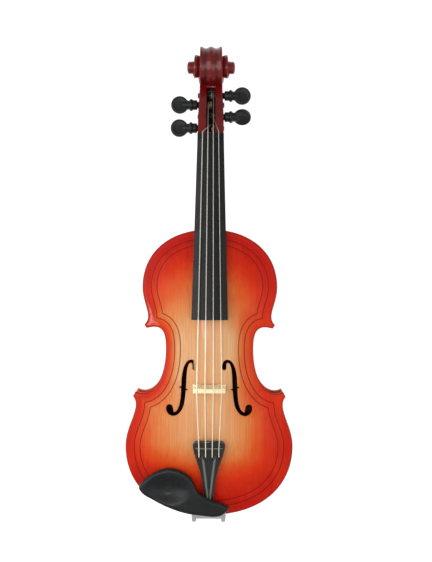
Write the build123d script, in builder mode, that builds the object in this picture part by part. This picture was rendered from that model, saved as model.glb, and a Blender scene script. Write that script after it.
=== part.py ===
from build123d import *
import math
import os

os.makedirs("parts", exist_ok=True)

# A full-size violin lying on its back.  +X is the treble side, +Y runs towards
# the scroll and +Z out of the belly.  All sizes are in millimetres.

# Body plan
body_length = 356.0
lower_bout = 208.4
waist = 108.8
upper_bout = 168.0
bridge_station = 0.447 * body_length

# Body section
rib_height = 31.0
edge_thickness = 4.0
plate_thickness = 3.0
belly_arch = 11.5
back_arch = 11.0
edge_overhang = 3.0
rib_thickness = 1.2
lining_thickness = 2.0
lining_height = 7.0
glue_gap = 0.1
end_block_depth = 16.0
end_block_width = 46.0

# Purfling: distance of each line from the edge, its width and its depth
purfling_outer_inset = 10.4
purfling_inner_inset = 17.6
purfling_width = 1.6
purfling_gap = 0.05

# Neck, fingerboard and head
neck_stop = 112.0
neck_angle = 4.7
board_rise = 6.0
board_length = 224.0
board_width_nut = 33.0
board_width_end = 44.6
board_side = 5.0
board_radius = 42.0
neck_depth = 13.0
nut_length = 7.5
pegbox_width = 32.5
throat_width = 28.4
slot_width = 11.0
slot_floor = 5.5
scroll_reach = 94.3
scroll_height = 29.5
scroll_radius = 26.7
second_turn_radius = 14.0
second_turn_width = 43.0
eye_radius = 7.8
eye_width = 61.0

# Pegs: distance past the nut end of the fingerboard, and height of each hole
peg_stations = {"g": 17.0, "e": 32.0, "d": 48.0, "a": 60.6}
peg_heights = {"g": 32.4, "e": 28.6, "d": 24.4, "a": 20.9}
peg_radius = 4.0
peg_tip_radius = 3.4
peg_clearance = 0.05
peg_head_radius = 11.15
peg_head_thickness = 8.4
peg_head_centre = 39.8

# Strings, bridge and tailpiece
string_diameters = {"g": 1.3, "d": 1.2, "a": 1.0, "e": 0.9}
string_spread_bridge = 30.0
string_spread_nut = 20.0
string_spread_tail = 24.4
string_rest_gap = 0.1
soft_gap = 0.3
bridge_height = 26.5
bridge_width = 40.5
bridge_foot_thickness = 11.0
bridge_top_thickness = 4.6
bridge_radius = 41.0
tail_top_station = 96.0
tail_end_station = 14.0
tail_top_width = 40.0
tail_end_width = 13.0
tail_thickness = 5.6
tail_hole_radius = 1.9
gut_radius = 0.9

# End button and chinrest hardware
button_radius = 6.3
button_reach = 9.0
button_neck_radius = 3.2
button_shaft_radius = 3.5
rest_clearance = 11.5
rest_thickness = 8.5
clamp_spread = 18.0
clamp_offset = 3.2
post_radius = 1.5
barrel_radius = 2.7
barrel_length = 20.0
thread_clearance = 0.05

# Derived heights
back_edge = back_arch
rib_low = back_edge + edge_thickness
rib_top = rib_low + rib_height
belly_edge = rib_top + edge_thickness
belly_top = belly_edge + belly_arch
board_plane = belly_edge + board_rise
nut_station = body_length + neck_stop
scroll_station = nut_station + scroll_reach
half_lower = lower_bout / 2
half_waist = waist / 2
half_upper = upper_bout / 2
bridge_top = belly_top + bridge_height
button_height = rib_low + rib_height / 2

# The frame's origin is under the middle of the whole instrument
tail_y = -(scroll_station + scroll_radius - button_reach) / 2


def level(height):
    # plan plane, its own origin at the tail end of the body
    return Plane(origin=(0, tail_y, height), x_dir=(1, 0, 0), z_dir=(0, 0, 1))


def profile(x):
    # side view plane: first coordinate runs towards the scroll, second is up
    return Plane(origin=(x, tail_y, 0), x_dir=(0, 1, 0), z_dir=(1, 0, 0))


def section(y):
    # cross-section plane at a distance from the tail end: x across, second is up
    return Plane(origin=(0, tail_y + y, 0), x_dir=(1, 0, 0), z_dir=(0, -1, 0))


def board_z(y):
    # underside of the fingerboard, which falls towards the nut
    return board_plane - (y - body_length) * math.tan(math.radians(neck_angle))


def half_width(y):
    # smooth half width of the body that the arching follows
    low, mid, high = 0.2416 * body_length, 0.5815 * body_length, 0.7978 * body_length
    if y <= low:
        return half_lower * max(0, 1 - ((low - max(y, 0)) / low) ** 2.15) ** (1 / 2.15)
    if y < mid:
        swing = 0.5 + 0.5 * math.cos(math.pi * (y - low) / (mid - low))
        return half_waist + (half_lower - half_waist) * swing
    if y < high:
        swing = 0.5 - 0.5 * math.cos(math.pi * (y - mid) / (high - mid))
        return half_waist + (half_upper - half_waist) * swing
    reach = min((y - high) / (body_length - high), 1)
    return half_upper * (1 - reach**2.15) ** (1 / 2.15)


def arching(x, y):
    # 1 along the middle of the plate, falling to 0 at its edge
    along = min(abs(y - body_length / 2) / (body_length / 2), 1)
    across = min(abs(x) / max(half_width(y), 0.001), 1)
    return (1 - across**2.4) ** 2 * (1 - along**4) ** 2


def arched_sheet(edge, rise):
    # arched surface larger than the plate, as a grid of points
    columns, rows = 24, 36
    grid = []
    for i in range(columns + 1):
        x = (half_lower + 10) * (2 * i / columns - 1)
        line = []
        for j in range(rows + 1):
            y = -10 + (body_length + 20) * j / rows
            line.append(Vector(x, tail_y + y, edge + rise * arching(x, y)))
        grid.append(line)
    return Face.make_surface_from_array_of_points(grid, tol=0.05)


# Space above the belly, below the back, and inside each plate
inner_belly_edge = rib_top - 1
inner_belly_rise = belly_top - plate_thickness - inner_belly_edge
inner_back_edge = rib_low + 1
inner_back_rise = plate_thickness - inner_back_edge
belly_sheet = arched_sheet(belly_edge, belly_arch)
back_sheet = arched_sheet(back_edge, -back_arch)
inner_belly_sheet = arched_sheet(inner_belly_edge, inner_belly_rise)
inner_back_sheet = arched_sheet(inner_back_edge, inner_back_rise)
above_belly = extrude(belly_sheet, amount=60, dir=(0, 0, 1))
below_back = extrude(back_sheet, amount=60, dir=(0, 0, -1))
under_belly = extrude(inner_belly_sheet, amount=60, dir=(0, 0, -1))
over_back = extrude(inner_back_sheet, amount=60, dir=(0, 0, 1))
inside_belly = under_belly.moved(Location((0, 0, -glue_gap)))
inside_back = over_back.moved(Location((0, 0, glue_gap)))
bridge_seat = extrude(belly_sheet, amount=30, dir=(0, 0, -1)).moved(Location((0, 0, glue_gap)))

# Plan outline of the plates, right half mirrored to the left
corner_low = (half_lower - 8.9, 0.4146 * body_length)
corner_low_end = (half_lower - 12.2, 0.432 * body_length)
corner_high = (half_upper - 5.5, 0.6531 * body_length)
corner_high_end = (half_upper - 2.5, 0.6657 * body_length)
lower_point = (half_lower, 0.2416 * body_length)
waist_point = (half_waist, 0.5815 * body_length)
upper_point = (half_upper, 0.7978 * body_length)

with BuildSketch() as body_outline:
    with BuildLine():
        Bezier((0, 0), (0.633 * half_lower, 0), (half_lower, 0.101 * body_length), lower_point)
        Bezier(
            lower_point,
            (half_lower, 0.3146 * body_length),
            (half_lower - 20.7, 0.3764 * body_length),
            corner_low,
        )
        Line(corner_low, corner_low_end)
        Bezier(
            corner_low_end,
            (half_lower - 27.2, 0.4059 * body_length),
            (half_waist, 0.4522 * body_length),
            waist_point,
        )
        Bezier(
            waist_point,
            (half_waist, 0.646 * body_length),
            (half_waist + 5.6, 0.6685 * body_length),
            corner_high,
        )
        Line(corner_high, corner_high_end)
        Bezier(
            corner_high_end,
            (half_upper - 14, 0.6966 * body_length),
            (half_upper, 0.736 * body_length),
            upper_point,
        )
        Bezier(
            upper_point,
            (half_upper, 0.9213 * body_length),
            (0.595 * half_upper, body_length),
            (0, body_length),
        )
        mirror(about=Plane.YZ)
    make_face()


def inset_outline(amount):
    # body outline drawn inwards by a constant distance, as lines and splines
    with BuildSketch() as smaller:
        add(body_outline.sketch)
        offset(amount=-amount, kind=Kind.INTERSECTION, mode=Mode.REPLACE)
    with BuildSketch() as smooth:
        with BuildLine():
            for edge in smaller.sketch.face().outer_wire().edges():
                if edge.geom_type == GeomType.LINE:
                    Line(edge @ 0, edge @ 1)
                else:
                    Spline([edge @ (i / 10) for i in range(11)], tangents=(edge % 0, edge % 1))
        make_face()
    return smooth.sketch


def outline_band(inset, width):
    # band that runs parallel to the body outline
    with BuildSketch() as band:
        add(inset_outline(inset))
        add(inset_outline(inset + width), mode=Mode.SUBTRACT)
    return band.sketch


# Half-plan regions, bounded by the lines that halve the two corners
def low_line(x):
    return (corner_low[1] + corner_low_end[1]) / 2 + 0.84 * (x - half_lower + 10.55)


def high_line(x):
    return (corner_high[1] + corner_high_end[1]) / 2 - 0.58 * (x - half_upper + 4)


far_x = half_lower + 36
inner_x = half_lower - 34
inner_high_x = half_upper - 24

with BuildSketch() as lower_region:
    with BuildLine():
        Polyline(
            (0, -20),
            (far_x, -20),
            (far_x, low_line(far_x)),
            (inner_x, low_line(inner_x)),
            (0, low_line(inner_x)),
            close=True,
        )
    make_face()

with BuildSketch() as waist_region:
    with BuildLine():
        Polyline(
            (half_waist - 15, low_line(inner_x)),
            (inner_x, low_line(inner_x)),
            (far_x, low_line(far_x)),
            (far_x, high_line(far_x)),
            (inner_high_x, high_line(inner_high_x)),
            (half_waist - 15, high_line(inner_high_x)),
            close=True,
        )
    make_face()

with BuildSketch() as upper_region:
    with BuildLine():
        Polyline(
            (0, body_length + 20),
            (far_x, body_length + 20),
            (far_x, high_line(far_x)),
            (inner_high_x, high_line(inner_high_x)),
            (0, high_line(inner_high_x)),
            close=True,
        )
    make_face()

# Neck root: the part of the heel that is let into the body
root_depth = 9.0
root_low_width = 22.0
root_top_width = 33.0


def root_prism(clearance):
    with BuildPart() as root:
        with BuildSketch(section(body_length - root_depth - clearance)):
            with BuildLine():
                Polyline(
                    (-root_low_width / 2 - clearance, rib_low),
                    (root_low_width / 2 + clearance, rib_low),
                    (root_top_width / 2 + clearance, board_plane + 4),
                    (-root_top_width / 2 - clearance, board_plane + 4),
                    close=True,
                )
            make_face()
        extrude(amount=-(root_depth + clearance + 4))
    return root.part


mortise = root_prism(glue_gap)

# Belly with its f-holes and purfling grooves
groove_floor = belly_edge - 1.0
f_eye_x = 49.1
f_eye_y = 0.3781 * body_length
f_eye_radius = 4.3
f_head_x = 18.4
f_head_y = 0.5174 * body_length
f_head_radius = 2.6

with BuildSketch() as f_hole:
    with BuildLine():
        Bezier(
            (f_head_x - f_head_radius, f_head_y),
            (f_head_x - 3.1, f_head_y + 6.3),
            (f_head_x - 0.4, f_head_y + 10.3),
            (f_head_x + 3.7, f_head_y + 10.3),
        )
        Bezier(
            (f_head_x + 3.7, f_head_y + 10.3),
            (f_head_x + 11.1, f_head_y + 10.3),
            (f_head_x + 15.2, f_head_y - 1.2),
            (f_head_x + 16.0, f_head_y - 14.7),
        )
        Bezier(
            (f_head_x + 16.0, f_head_y - 14.7),
            (f_head_x + 16.5, f_head_y - 24),
            (f_eye_x - 14.3, f_eye_y + 13.4),
            (f_eye_x - 12.7, f_eye_y + 6.2),
        )
        Bezier(
            (f_eye_x - 12.7, f_eye_y + 6.2),
            (f_eye_x - 11.7, f_eye_y + 0.4),
            (f_eye_x - 9, f_eye_y - 5.4),
            (f_eye_x - 5.4, f_eye_y - 5.2),
        )
        Line((f_eye_x - 5.4, f_eye_y - 5.2), (f_eye_x - f_eye_radius, f_eye_y))
        ThreePointArc(
            (f_eye_x - f_eye_radius, f_eye_y),
            (f_eye_x, f_eye_y + f_eye_radius),
            (f_eye_x + f_eye_radius, f_eye_y),
        )
        Bezier(
            (f_eye_x + f_eye_radius, f_eye_y),
            (f_eye_x + 4.6, f_eye_y - 6),
            (f_eye_x + 0.6, f_eye_y - 10),
            (f_eye_x - 4.4, f_eye_y - 10),
        )
        Bezier(
            (f_eye_x - 4.4, f_eye_y - 10),
            (f_eye_x - 11.6, f_eye_y - 10),
            (f_eye_x - 17.1, f_eye_y - 1.6),
            (f_eye_x - 18.2, f_eye_y + 6.2),
        )
        Bezier(
            (f_eye_x - 18.2, f_eye_y + 6.2),
            (f_eye_x - 19.9, f_eye_y + 14.4),
            (f_head_x + 10.2, f_head_y - 24),
            (f_head_x + 9.9, f_head_y - 14.7),
        )
        Bezier(
            (f_head_x + 9.9, f_head_y - 14.7),
            (f_head_x + 9.6, f_head_y - 2),
            (f_head_x + 8.1, f_head_y + 6.3),
            (f_head_x + 4.1, f_head_y + 6.3),
        )
        Bezier(
            (f_head_x + 4.1, f_head_y + 6.3),
            (f_head_x + 2.4, f_head_y + 6.3),
            (f_head_x + f_head_radius, f_head_y + 3.4),
            (f_head_x + f_head_radius, f_head_y),
        )
        ThreePointArc(
            (f_head_x + f_head_radius, f_head_y),
            (f_head_x, f_head_y - f_head_radius),
            (f_head_x - f_head_radius, f_head_y),
        )
    make_face()
    with BuildLine():
        Polyline(
            (29, 0.4511 * body_length),
            (25.6, 0.4427 * body_length),
            (29, 0.4343 * body_length),
            close=True,
        )
    make_face()
    with BuildLine():
        Polyline(
            (34.6, 0.459 * body_length),
            (38.2, 0.4506 * body_length),
            (34.6, 0.4422 * body_length),
            close=True,
        )
    make_face()

with BuildPart() as top_plate:
    with BuildSketch(level(rib_top)):
        add(body_outline.sketch)
    extrude(amount=belly_arch + edge_thickness + 5)
    add(above_belly, mode=Mode.SUBTRACT)
    add(under_belly, mode=Mode.SUBTRACT)
    with BuildSketch(level(rib_top - 5)):
        add(f_hole.sketch)
        mirror(about=Plane.YZ)
    extrude(amount=30, mode=Mode.SUBTRACT)
    with BuildSketch(level(groove_floor)):
        add(outline_band(purfling_outer_inset, purfling_width))
        add(outline_band(purfling_inner_inset, purfling_width))
    extrude(amount=20, mode=Mode.SUBTRACT)
    add(mortise, mode=Mode.SUBTRACT)

# Lower saddle, let into the end of the belly
saddle_half_width = 15.0
saddle_depth = 6.0
saddle_rise = 2.4

with BuildPart() as lower_saddle:
    with BuildSketch(section(saddle_depth)):
        with BuildLine():
            ThreePointArc(
                (-saddle_half_width, belly_edge),
                (0, belly_edge + saddle_rise),
                (saddle_half_width, belly_edge),
            )
            Polyline(
                (saddle_half_width, belly_edge),
                (saddle_half_width, rib_top),
                (-saddle_half_width, rib_top),
                (-saddle_half_width, belly_edge),
            )
        make_face()
    extrude(amount=saddle_depth + 0.4)

with BuildPart() as saddle_recess:
    with BuildSketch(level(rib_top)):
        with Locations((0, (saddle_depth + glue_gap) / 2 - 5)):
            Rectangle(2 * (saddle_half_width + glue_gap), saddle_depth + glue_gap + 10)
    extrude(amount=20)

with BuildPart() as top_plate_cut:
    add(top_plate.part)
    add(saddle_recess.part, mode=Mode.SUBTRACT)
top_plate = top_plate_cut


def purfling_line(inset):
    with BuildPart() as strip:
        with BuildSketch(level(groove_floor + purfling_gap)):
            add(outline_band(inset + purfling_gap, purfling_width - 2 * purfling_gap))
        extrude(amount=20)
        add(above_belly, mode=Mode.SUBTRACT)
    return strip


purfling_outer = purfling_line(purfling_outer_inset)
purfling_inner = purfling_line(purfling_inner_inset)

# Back with the button that the heel of the neck is glued to
button_length = 12.0

with BuildPart() as back_plate:
    with BuildSketch(level(0)):
        add(body_outline.sketch)
    extrude(amount=rib_low)
    add(below_back, mode=Mode.SUBTRACT)
    add(over_back, mode=Mode.SUBTRACT)
    with BuildSketch(level(back_edge)):
        with Locations((0, body_length - 1)):
            Rectangle(20, 6)
        with Locations((0, body_length + button_length - 10)):
            Circle(10)
    extrude(amount=edge_thickness)
    with BuildSketch(level(back_edge + 1)):
        add(outline_band(purfling_outer_inset, purfling_width))
    extrude(amount=-20, mode=Mode.SUBTRACT)

with BuildPart() as purfling_back:
    with BuildSketch(level(back_edge + 1 - purfling_gap)):
        add(outline_band(purfling_outer_inset + purfling_gap, purfling_width - 2 * purfling_gap))
    extrude(amount=-20)
    add(below_back, mode=Mode.SUBTRACT)

# Ribs between the plates
rib_band = outline_band(edge_overhang, rib_thickness)
lining_inset = edge_overhang + rib_thickness + glue_gap
inner_face = inset_outline(lining_inset)
button_bore = button_shaft_radius + glue_gap

with BuildPart() as button_hole:
    with BuildSketch(section(30)):
        with Locations((0, button_height)):
            Circle(button_bore)
    extrude(amount=40)


def rib(region, side):
    with BuildPart() as wall:
        with BuildSketch(level(rib_low)):
            add(rib_band)
        extrude(amount=rib_height)
        with BuildSketch(level(rib_low - 1)):
            add(region)
            if side < 0:
                mirror(about=Plane.YZ, mode=Mode.REPLACE)
        extrude(amount=rib_height + 2, mode=Mode.INTERSECT)
        add(mortise, mode=Mode.SUBTRACT)
        add(button_hole.part, mode=Mode.SUBTRACT)
    return wall


rib_lower_right = rib(lower_region.sketch, 1)
rib_lower_left = rib(lower_region.sketch, -1)
rib_waist_right = rib(waist_region.sketch, 1)
rib_waist_left = rib(waist_region.sketch, -1)
rib_upper_right = rib(upper_region.sketch, 1)
rib_upper_left = rib(upper_region.sketch, -1)

# Blocks inside the ribs
with BuildPart() as end_block:
    with BuildSketch(level(rib_low)):
        add(inner_face)
    extrude(amount=rib_height)
    with BuildSketch(level(rib_low - 1)):
        with Locations((0, end_block_depth / 2)):
            Rectangle(end_block_width, end_block_depth + 10)
    extrude(amount=rib_height + 2, mode=Mode.INTERSECT)
    add(button_hole.part, mode=Mode.SUBTRACT)

with BuildPart() as neck_block:
    with BuildSketch(level(rib_low)):
        add(inner_face)
    extrude(amount=rib_height)
    with BuildSketch(level(rib_low - 1)):
        with Locations((0, body_length - end_block_depth / 2)):
            Rectangle(end_block_width + 6, end_block_depth + 10)
    extrude(amount=rib_height + 2, mode=Mode.INTERSECT)
    add(mortise, mode=Mode.SUBTRACT)


low_block_depth = 22.0
high_block_depth = 18.0
block_width = 42.0


def corner_block(tip, depth, side, turn):
    # wedge that fills a corner, cut off square across the corner
    with BuildPart() as block:
        with BuildSketch(level(rib_low)):
            add(inner_face)
        extrude(amount=rib_height)
        with BuildSketch(level(rib_low - 1)):
            with Locations(Location((side * tip[0], tip[1], 0), (0, 0, side * turn))):
                Rectangle(2 * depth, block_width)
        extrude(amount=rib_height + 2, mode=Mode.INTERSECT)
    return block


corner_block_lower_right = corner_block(corner_low, low_block_depth, 1, 40)
corner_block_lower_left = corner_block(corner_low, low_block_depth, -1, 40)
corner_block_upper_right = corner_block(corner_high, high_block_depth, 1, -30)
corner_block_upper_left = corner_block(corner_high, high_block_depth, -1, -30)


def linings(height):
    with BuildPart() as strips:
        with BuildSketch(level(height)):
            add(outline_band(lining_inset, lining_thickness))
        extrude(amount=lining_height)
        with BuildSketch(level(height - 1)):
            with Locations((0, end_block_depth / 2)):
                Rectangle(end_block_width + 1, end_block_depth + 10)
            with Locations((0, body_length - end_block_depth / 2)):
                Rectangle(end_block_width + 7, end_block_depth + 10)
            for side in (1, -1):
                with Locations(Location((side * corner_low[0], corner_low[1], 0), (0, 0, side * 40))):
                    Rectangle(2 * low_block_depth + 1, block_width + 1)
                with Locations(Location((side * corner_high[0], corner_high[1], 0), (0, 0, side * -30))):
                    Rectangle(2 * high_block_depth + 1, block_width + 1)
        extrude(amount=lining_height + 2, mode=Mode.SUBTRACT)
    return strips


linings_top = linings(rib_top - lining_height)
linings_back = linings(rib_low)

# Bass bar under the belly, sound post between the plates
with BuildPart() as bass_bar:
    with BuildSketch(profile(-19.5)):
        with BuildLine():
            Polyline((0.13 * body_length, belly_top), (0.13 * body_length, rib_top + 1.2))
            Bezier(
                (0.13 * body_length, rib_top + 1.2),
                (0.4 * body_length, rib_top - 1.5),
                (0.6 * body_length, rib_top - 1.5),
                (0.88 * body_length, rib_top + 1.2),
            )
            Polyline((0.88 * body_length, rib_top + 1.2), (0.88 * body_length, belly_top))
            Line((0.88 * body_length, belly_top), (0.13 * body_length, belly_top))
        make_face()
    extrude(amount=5.5)
    add(inside_belly, mode=Mode.INTERSECT)

with BuildPart() as sound_post:
    with BuildSketch(level(0)):
        with Locations((14, bridge_station - 8)):
            Circle(3.1)
    extrude(amount=belly_top)
    add(inside_belly, mode=Mode.INTERSECT)
with BuildPart() as sound_post_fit:
    add(sound_post.part)
    add(inside_back, mode=Mode.INTERSECT)
sound_post = sound_post_fit

# Neck: heel, shaft, pegbox and scroll in one piece
heel_low_width = 20.0
heel_top_width = 33.5
slope_margin = 6.0


def heel_outline(width, start, reach):
    # straight root with a rounded front
    with BuildLine() as edge:
        Polyline((width / 2, start), (width / 2, body_length - root_depth))
        Line((width / 2, body_length - root_depth), (-width / 2, body_length - root_depth))
        Line((-width / 2, body_length - root_depth), (-width / 2, start))
        Bezier((-width / 2, start), (-width / 2, reach), (width / 2, reach), (width / 2, start))
    return edge.line


def shaft_outline(y, width, depth):
    top = board_z(y) + slope_margin
    low = board_z(y)
    half = width / 2
    with BuildLine() as edge:
        Line((half, low - 3), (half, top))
        Line((half, top), (-half, top))
        Line((-half, top), (-half, low - 3))
        Bezier(
            (-half, low - 3),
            (-half, low - 1.28 * depth),
            (half, low - 1.28 * depth),
            (half, low - 3),
        )
    return edge.line


def board_width(y):
    # the fingerboard widens evenly from the nut to its free end
    share = (nut_station - y) / board_length
    return board_width_nut + (board_width_end - board_width_nut) * share


with BuildPart() as neck_heel:
    for height, width, start, reach in (
        (rib_low, heel_low_width, body_length + 2, body_length + 15),
        (rib_low + 14, heel_low_width + 4, body_length + 3, body_length + 18),
        (rib_top + 2, heel_top_width, body_length + 8, body_length + 32),
        (board_plane + 4, heel_top_width + 2, body_length + 10, body_length + 38),
    ):
        with BuildSketch(level(height)):
            add(heel_outline(width, start, reach))
            make_face()
    loft()

with BuildPart() as heel_root:
    add(neck_heel.part)
    with BuildSketch(section(body_length - root_depth - 1)):
        Rectangle(80, 300)
    extrude(amount=-(root_depth + 1 - 0.1), mode=Mode.SUBTRACT)
    add(root_prism(0))

with BuildPart() as neck_shaft:
    for y, depth in ((body_length + 9, 17.0), (body_length + 60, 14.2), (nut_station + 9, neck_depth)):
        with BuildSketch(section(y)):
            add(shaft_outline(y, board_width(min(y, nut_station)) - 0.6, depth))
            make_face()
    loft()

# Side profile of pegbox and first turn of the scroll
pegbox_start = nut_station + nut_length + 0.5
pegbox_top = board_z(pegbox_start) - 0.2
turn_near = scroll_station - 20.5
turn_far = scroll_station + scroll_radius
turn_top = scroll_height + 24.0
turn_low = scroll_height - scroll_radius
chin_y = nut_station + 18.0
chin_z = 16.4

with BuildSketch() as head_profile:
    with BuildLine():
        Line((nut_station + 2, board_z(nut_station) - 1), (pegbox_start, pegbox_top))
        Bezier(
            (pegbox_start, pegbox_top),
            (pegbox_start + 22, pegbox_top - 7),
            (turn_near - 18, scroll_height - 0.5),
            (turn_near - 1, scroll_height - 6.5),
        )
        Line((turn_near - 1, scroll_height - 6.5), (turn_near, scroll_height))
        Bezier(
            (turn_near, scroll_height),
            (turn_near, scroll_height + 13.3),
            (scroll_station - 11.5, turn_top),
            (scroll_station, turn_top),
        )
        Bezier(
            (scroll_station, turn_top),
            (scroll_station + 14.5, turn_top),
            (turn_far, scroll_height + 13.3),
            (turn_far, scroll_height),
        )
        Bezier(
            (turn_far, scroll_height),
            (turn_far, scroll_height - 14.8),
            (scroll_station + 14.8, turn_low),
            (scroll_station, turn_low),
        )
        Bezier(
            (scroll_station, turn_low),
            (scroll_station - 32, turn_low),
            (chin_y + 22, chin_z - 2.6),
            (chin_y, chin_z),
        )
        Bezier(
            (chin_y, chin_z),
            (chin_y - 11, chin_z + 1.4),
            (nut_station + 9, board_z(nut_station) - neck_depth - 0.6),
            (nut_station + 2, board_z(nut_station) - neck_depth + 0.4),
        )
        Line(
            (nut_station + 2, board_z(nut_station) - neck_depth + 0.4),
            (nut_station + 2, board_z(nut_station) - 1),
        )
    make_face()

with BuildPart() as head_body:
    with BuildSketch(profile(-20)):
        add(head_profile.sketch)
    extrude(amount=40)
    with BuildSketch(level(0)):
        with BuildLine():
            Polyline(
                (-pegbox_width / 2, nut_station),
                (-pegbox_width / 2, nut_station + 30),
                (-throat_width / 2, turn_near + 4),
                (-throat_width / 2, turn_far + 5),
                (throat_width / 2, turn_far + 5),
                (throat_width / 2, turn_near + 4),
                (pegbox_width / 2, nut_station + 30),
                (pegbox_width / 2, nut_station),
                close=True,
            )
        make_face()
    extrude(amount=80, mode=Mode.INTERSECT)
    # second turn and eye, stepped outwards on both sides
    with BuildSketch(profile(-second_turn_width / 2)):
        with Locations((scroll_station, scroll_height)):
            Circle(second_turn_radius)
    extrude(amount=second_turn_width)
    with BuildSketch(profile(-eye_width / 2)):
        with Locations((scroll_station, scroll_height)):
            Circle(eye_radius)
    extrude(amount=eye_width)

slot_start = pegbox_start + 1.5
slot_end = turn_near - 4.0

with BuildPart() as peg_slot:
    with BuildSketch(profile(-slot_width / 2)):
        with BuildLine():
            Polyline(
                (slot_start, board_plane),
                (slot_start, pegbox_top - 16),
                (slot_start + 6, chin_z + slot_floor),
            )
            Bezier(
                (slot_start + 6, chin_z + slot_floor),
                (slot_start + 22, chin_z + slot_floor - 2),
                (slot_end - 18, 15.5),
                (slot_end, 12.5),
            )
            Polyline((slot_end, 12.5), (slot_end + 1.5, board_plane), (slot_start, board_plane))
        make_face()
    extrude(amount=slot_width)

peg_sides = {"g": -1, "d": -1, "a": 1, "e": 1}
peg_tip_x = pegbox_width / 2 + 0.8
collar_x = 20.5
collar_length = 4.0
collar_radius = 7.8


def peg_axis(name, turn=0):
    # plane at the middle of the pegbox, its normal pointing to the peg's head
    side = peg_sides[name]
    angle = math.radians(turn)
    place = (0, tail_y + nut_station + peg_stations[name], peg_heights[name])
    along = (0, side * math.cos(angle), math.sin(angle))
    return Plane(origin=place, x_dir=along, z_dir=(side, 0, 0))


def peg_taper(name, growth, start, stop):
    # tapered shaft between two distances from the middle towards the head
    slope = (peg_radius - peg_tip_radius) / (collar_x + peg_tip_x)
    with BuildPart() as shaft:
        for place in (start, stop):
            radius = peg_radius - slope * (collar_x - place) + growth
            with BuildSketch(peg_axis(name).offset(place)):
                Circle(radius)
        loft()
    return shaft.part


with BuildPart() as neck:
    add(neck_shaft.part)
    add(heel_root.part)
    # everything above the fingerboard's gluing face comes off
    with BuildSketch(profile(-30)):
        with BuildLine():
            Polyline(
                (body_length - 30, board_z(body_length - 30)),
                (nut_station + 9.2, board_z(nut_station + 9.2)),
                (nut_station + 9.2, board_plane + 40),
                (body_length - 30, board_plane + 40),
                close=True,
            )
        make_face()
    extrude(amount=60, mode=Mode.SUBTRACT)
    with BuildSketch(section(pegbox_start)):
        with Locations((0, board_plane)):
            Rectangle(80, 60)
    extrude(amount=-20, mode=Mode.SUBTRACT)
    add(head_body.part)
    add(peg_slot.part, mode=Mode.SUBTRACT)
    for name in peg_stations:
        add(peg_taper(name, peg_clearance, -25, 25), mode=Mode.SUBTRACT)

# Pegs: tapered shaft, collar, waist and a round flat head
head_turns = {"g": 0, "d": 0, "a": 0, "e": 50}


def peg(name):
    axis = peg_axis(name)
    with BuildPart() as piece:
        add(peg_taper(name, 0, -peg_tip_x, collar_x))
        with BuildSketch(axis.offset(collar_x)):
            Circle(collar_radius)
        extrude(amount=collar_length)
        with BuildSketch(axis.offset(collar_x + collar_length)):
            Circle(collar_radius - 1.6)
        with BuildSketch(axis.offset(collar_x + collar_length + 6)):
            Circle(3.9)
        loft()
        spun = peg_axis(name, head_turns[name]).offset(peg_head_centre)
        across = Plane(origin=spun.origin, x_dir=spun.z_dir, z_dir=spun.y_dir)
        with BuildSketch(across.offset(-peg_head_thickness / 2)):
            Circle(peg_head_radius)
        extrude(amount=peg_head_thickness)
        for face_side in (1, -1):
            with BuildSketch(across.offset(face_side * (peg_head_thickness / 2 - 0.9))):
                Circle(peg_head_radius - 3.2)
            extrude(amount=face_side * 3, mode=Mode.SUBTRACT)
    return piece


peg_g = peg("g")
peg_d = peg("d")
peg_a = peg("a")
peg_e = peg("e")

# Fingerboard and nut


def board_outline(y, width, side, low):
    # flat underside, straight sides and an arched playing surface
    half = width / 2
    crown = board_radius - math.sqrt(board_radius**2 - half**2)
    with BuildLine() as edge:
        Polyline((half, low + side), (half, low), (-half, low), (-half, low + side))
        ThreePointArc((-half, low + side), (0, low + side + crown), (half, low + side))
    return edge.line


with BuildPart() as fingerboard:
    for y in (nut_station - board_length, nut_station - glue_gap):
        with BuildSketch(section(y)):
            add(board_outline(y, board_width(y), board_side, board_z(y)))
            make_face()
    loft()

nut_rise = 1.1
with BuildPart() as nut:
    for y, rise in ((nut_station, nut_rise), (nut_station + nut_length, 0.2)):
        with BuildSketch(section(y)):
            add(board_outline(y, board_width_nut, board_side + rise, board_z(y)))
            make_face()
    loft()


def crown_drop(x, radius):
    # fall of an arched surface away from its middle
    return radius - math.sqrt(radius**2 - x**2)


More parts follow.
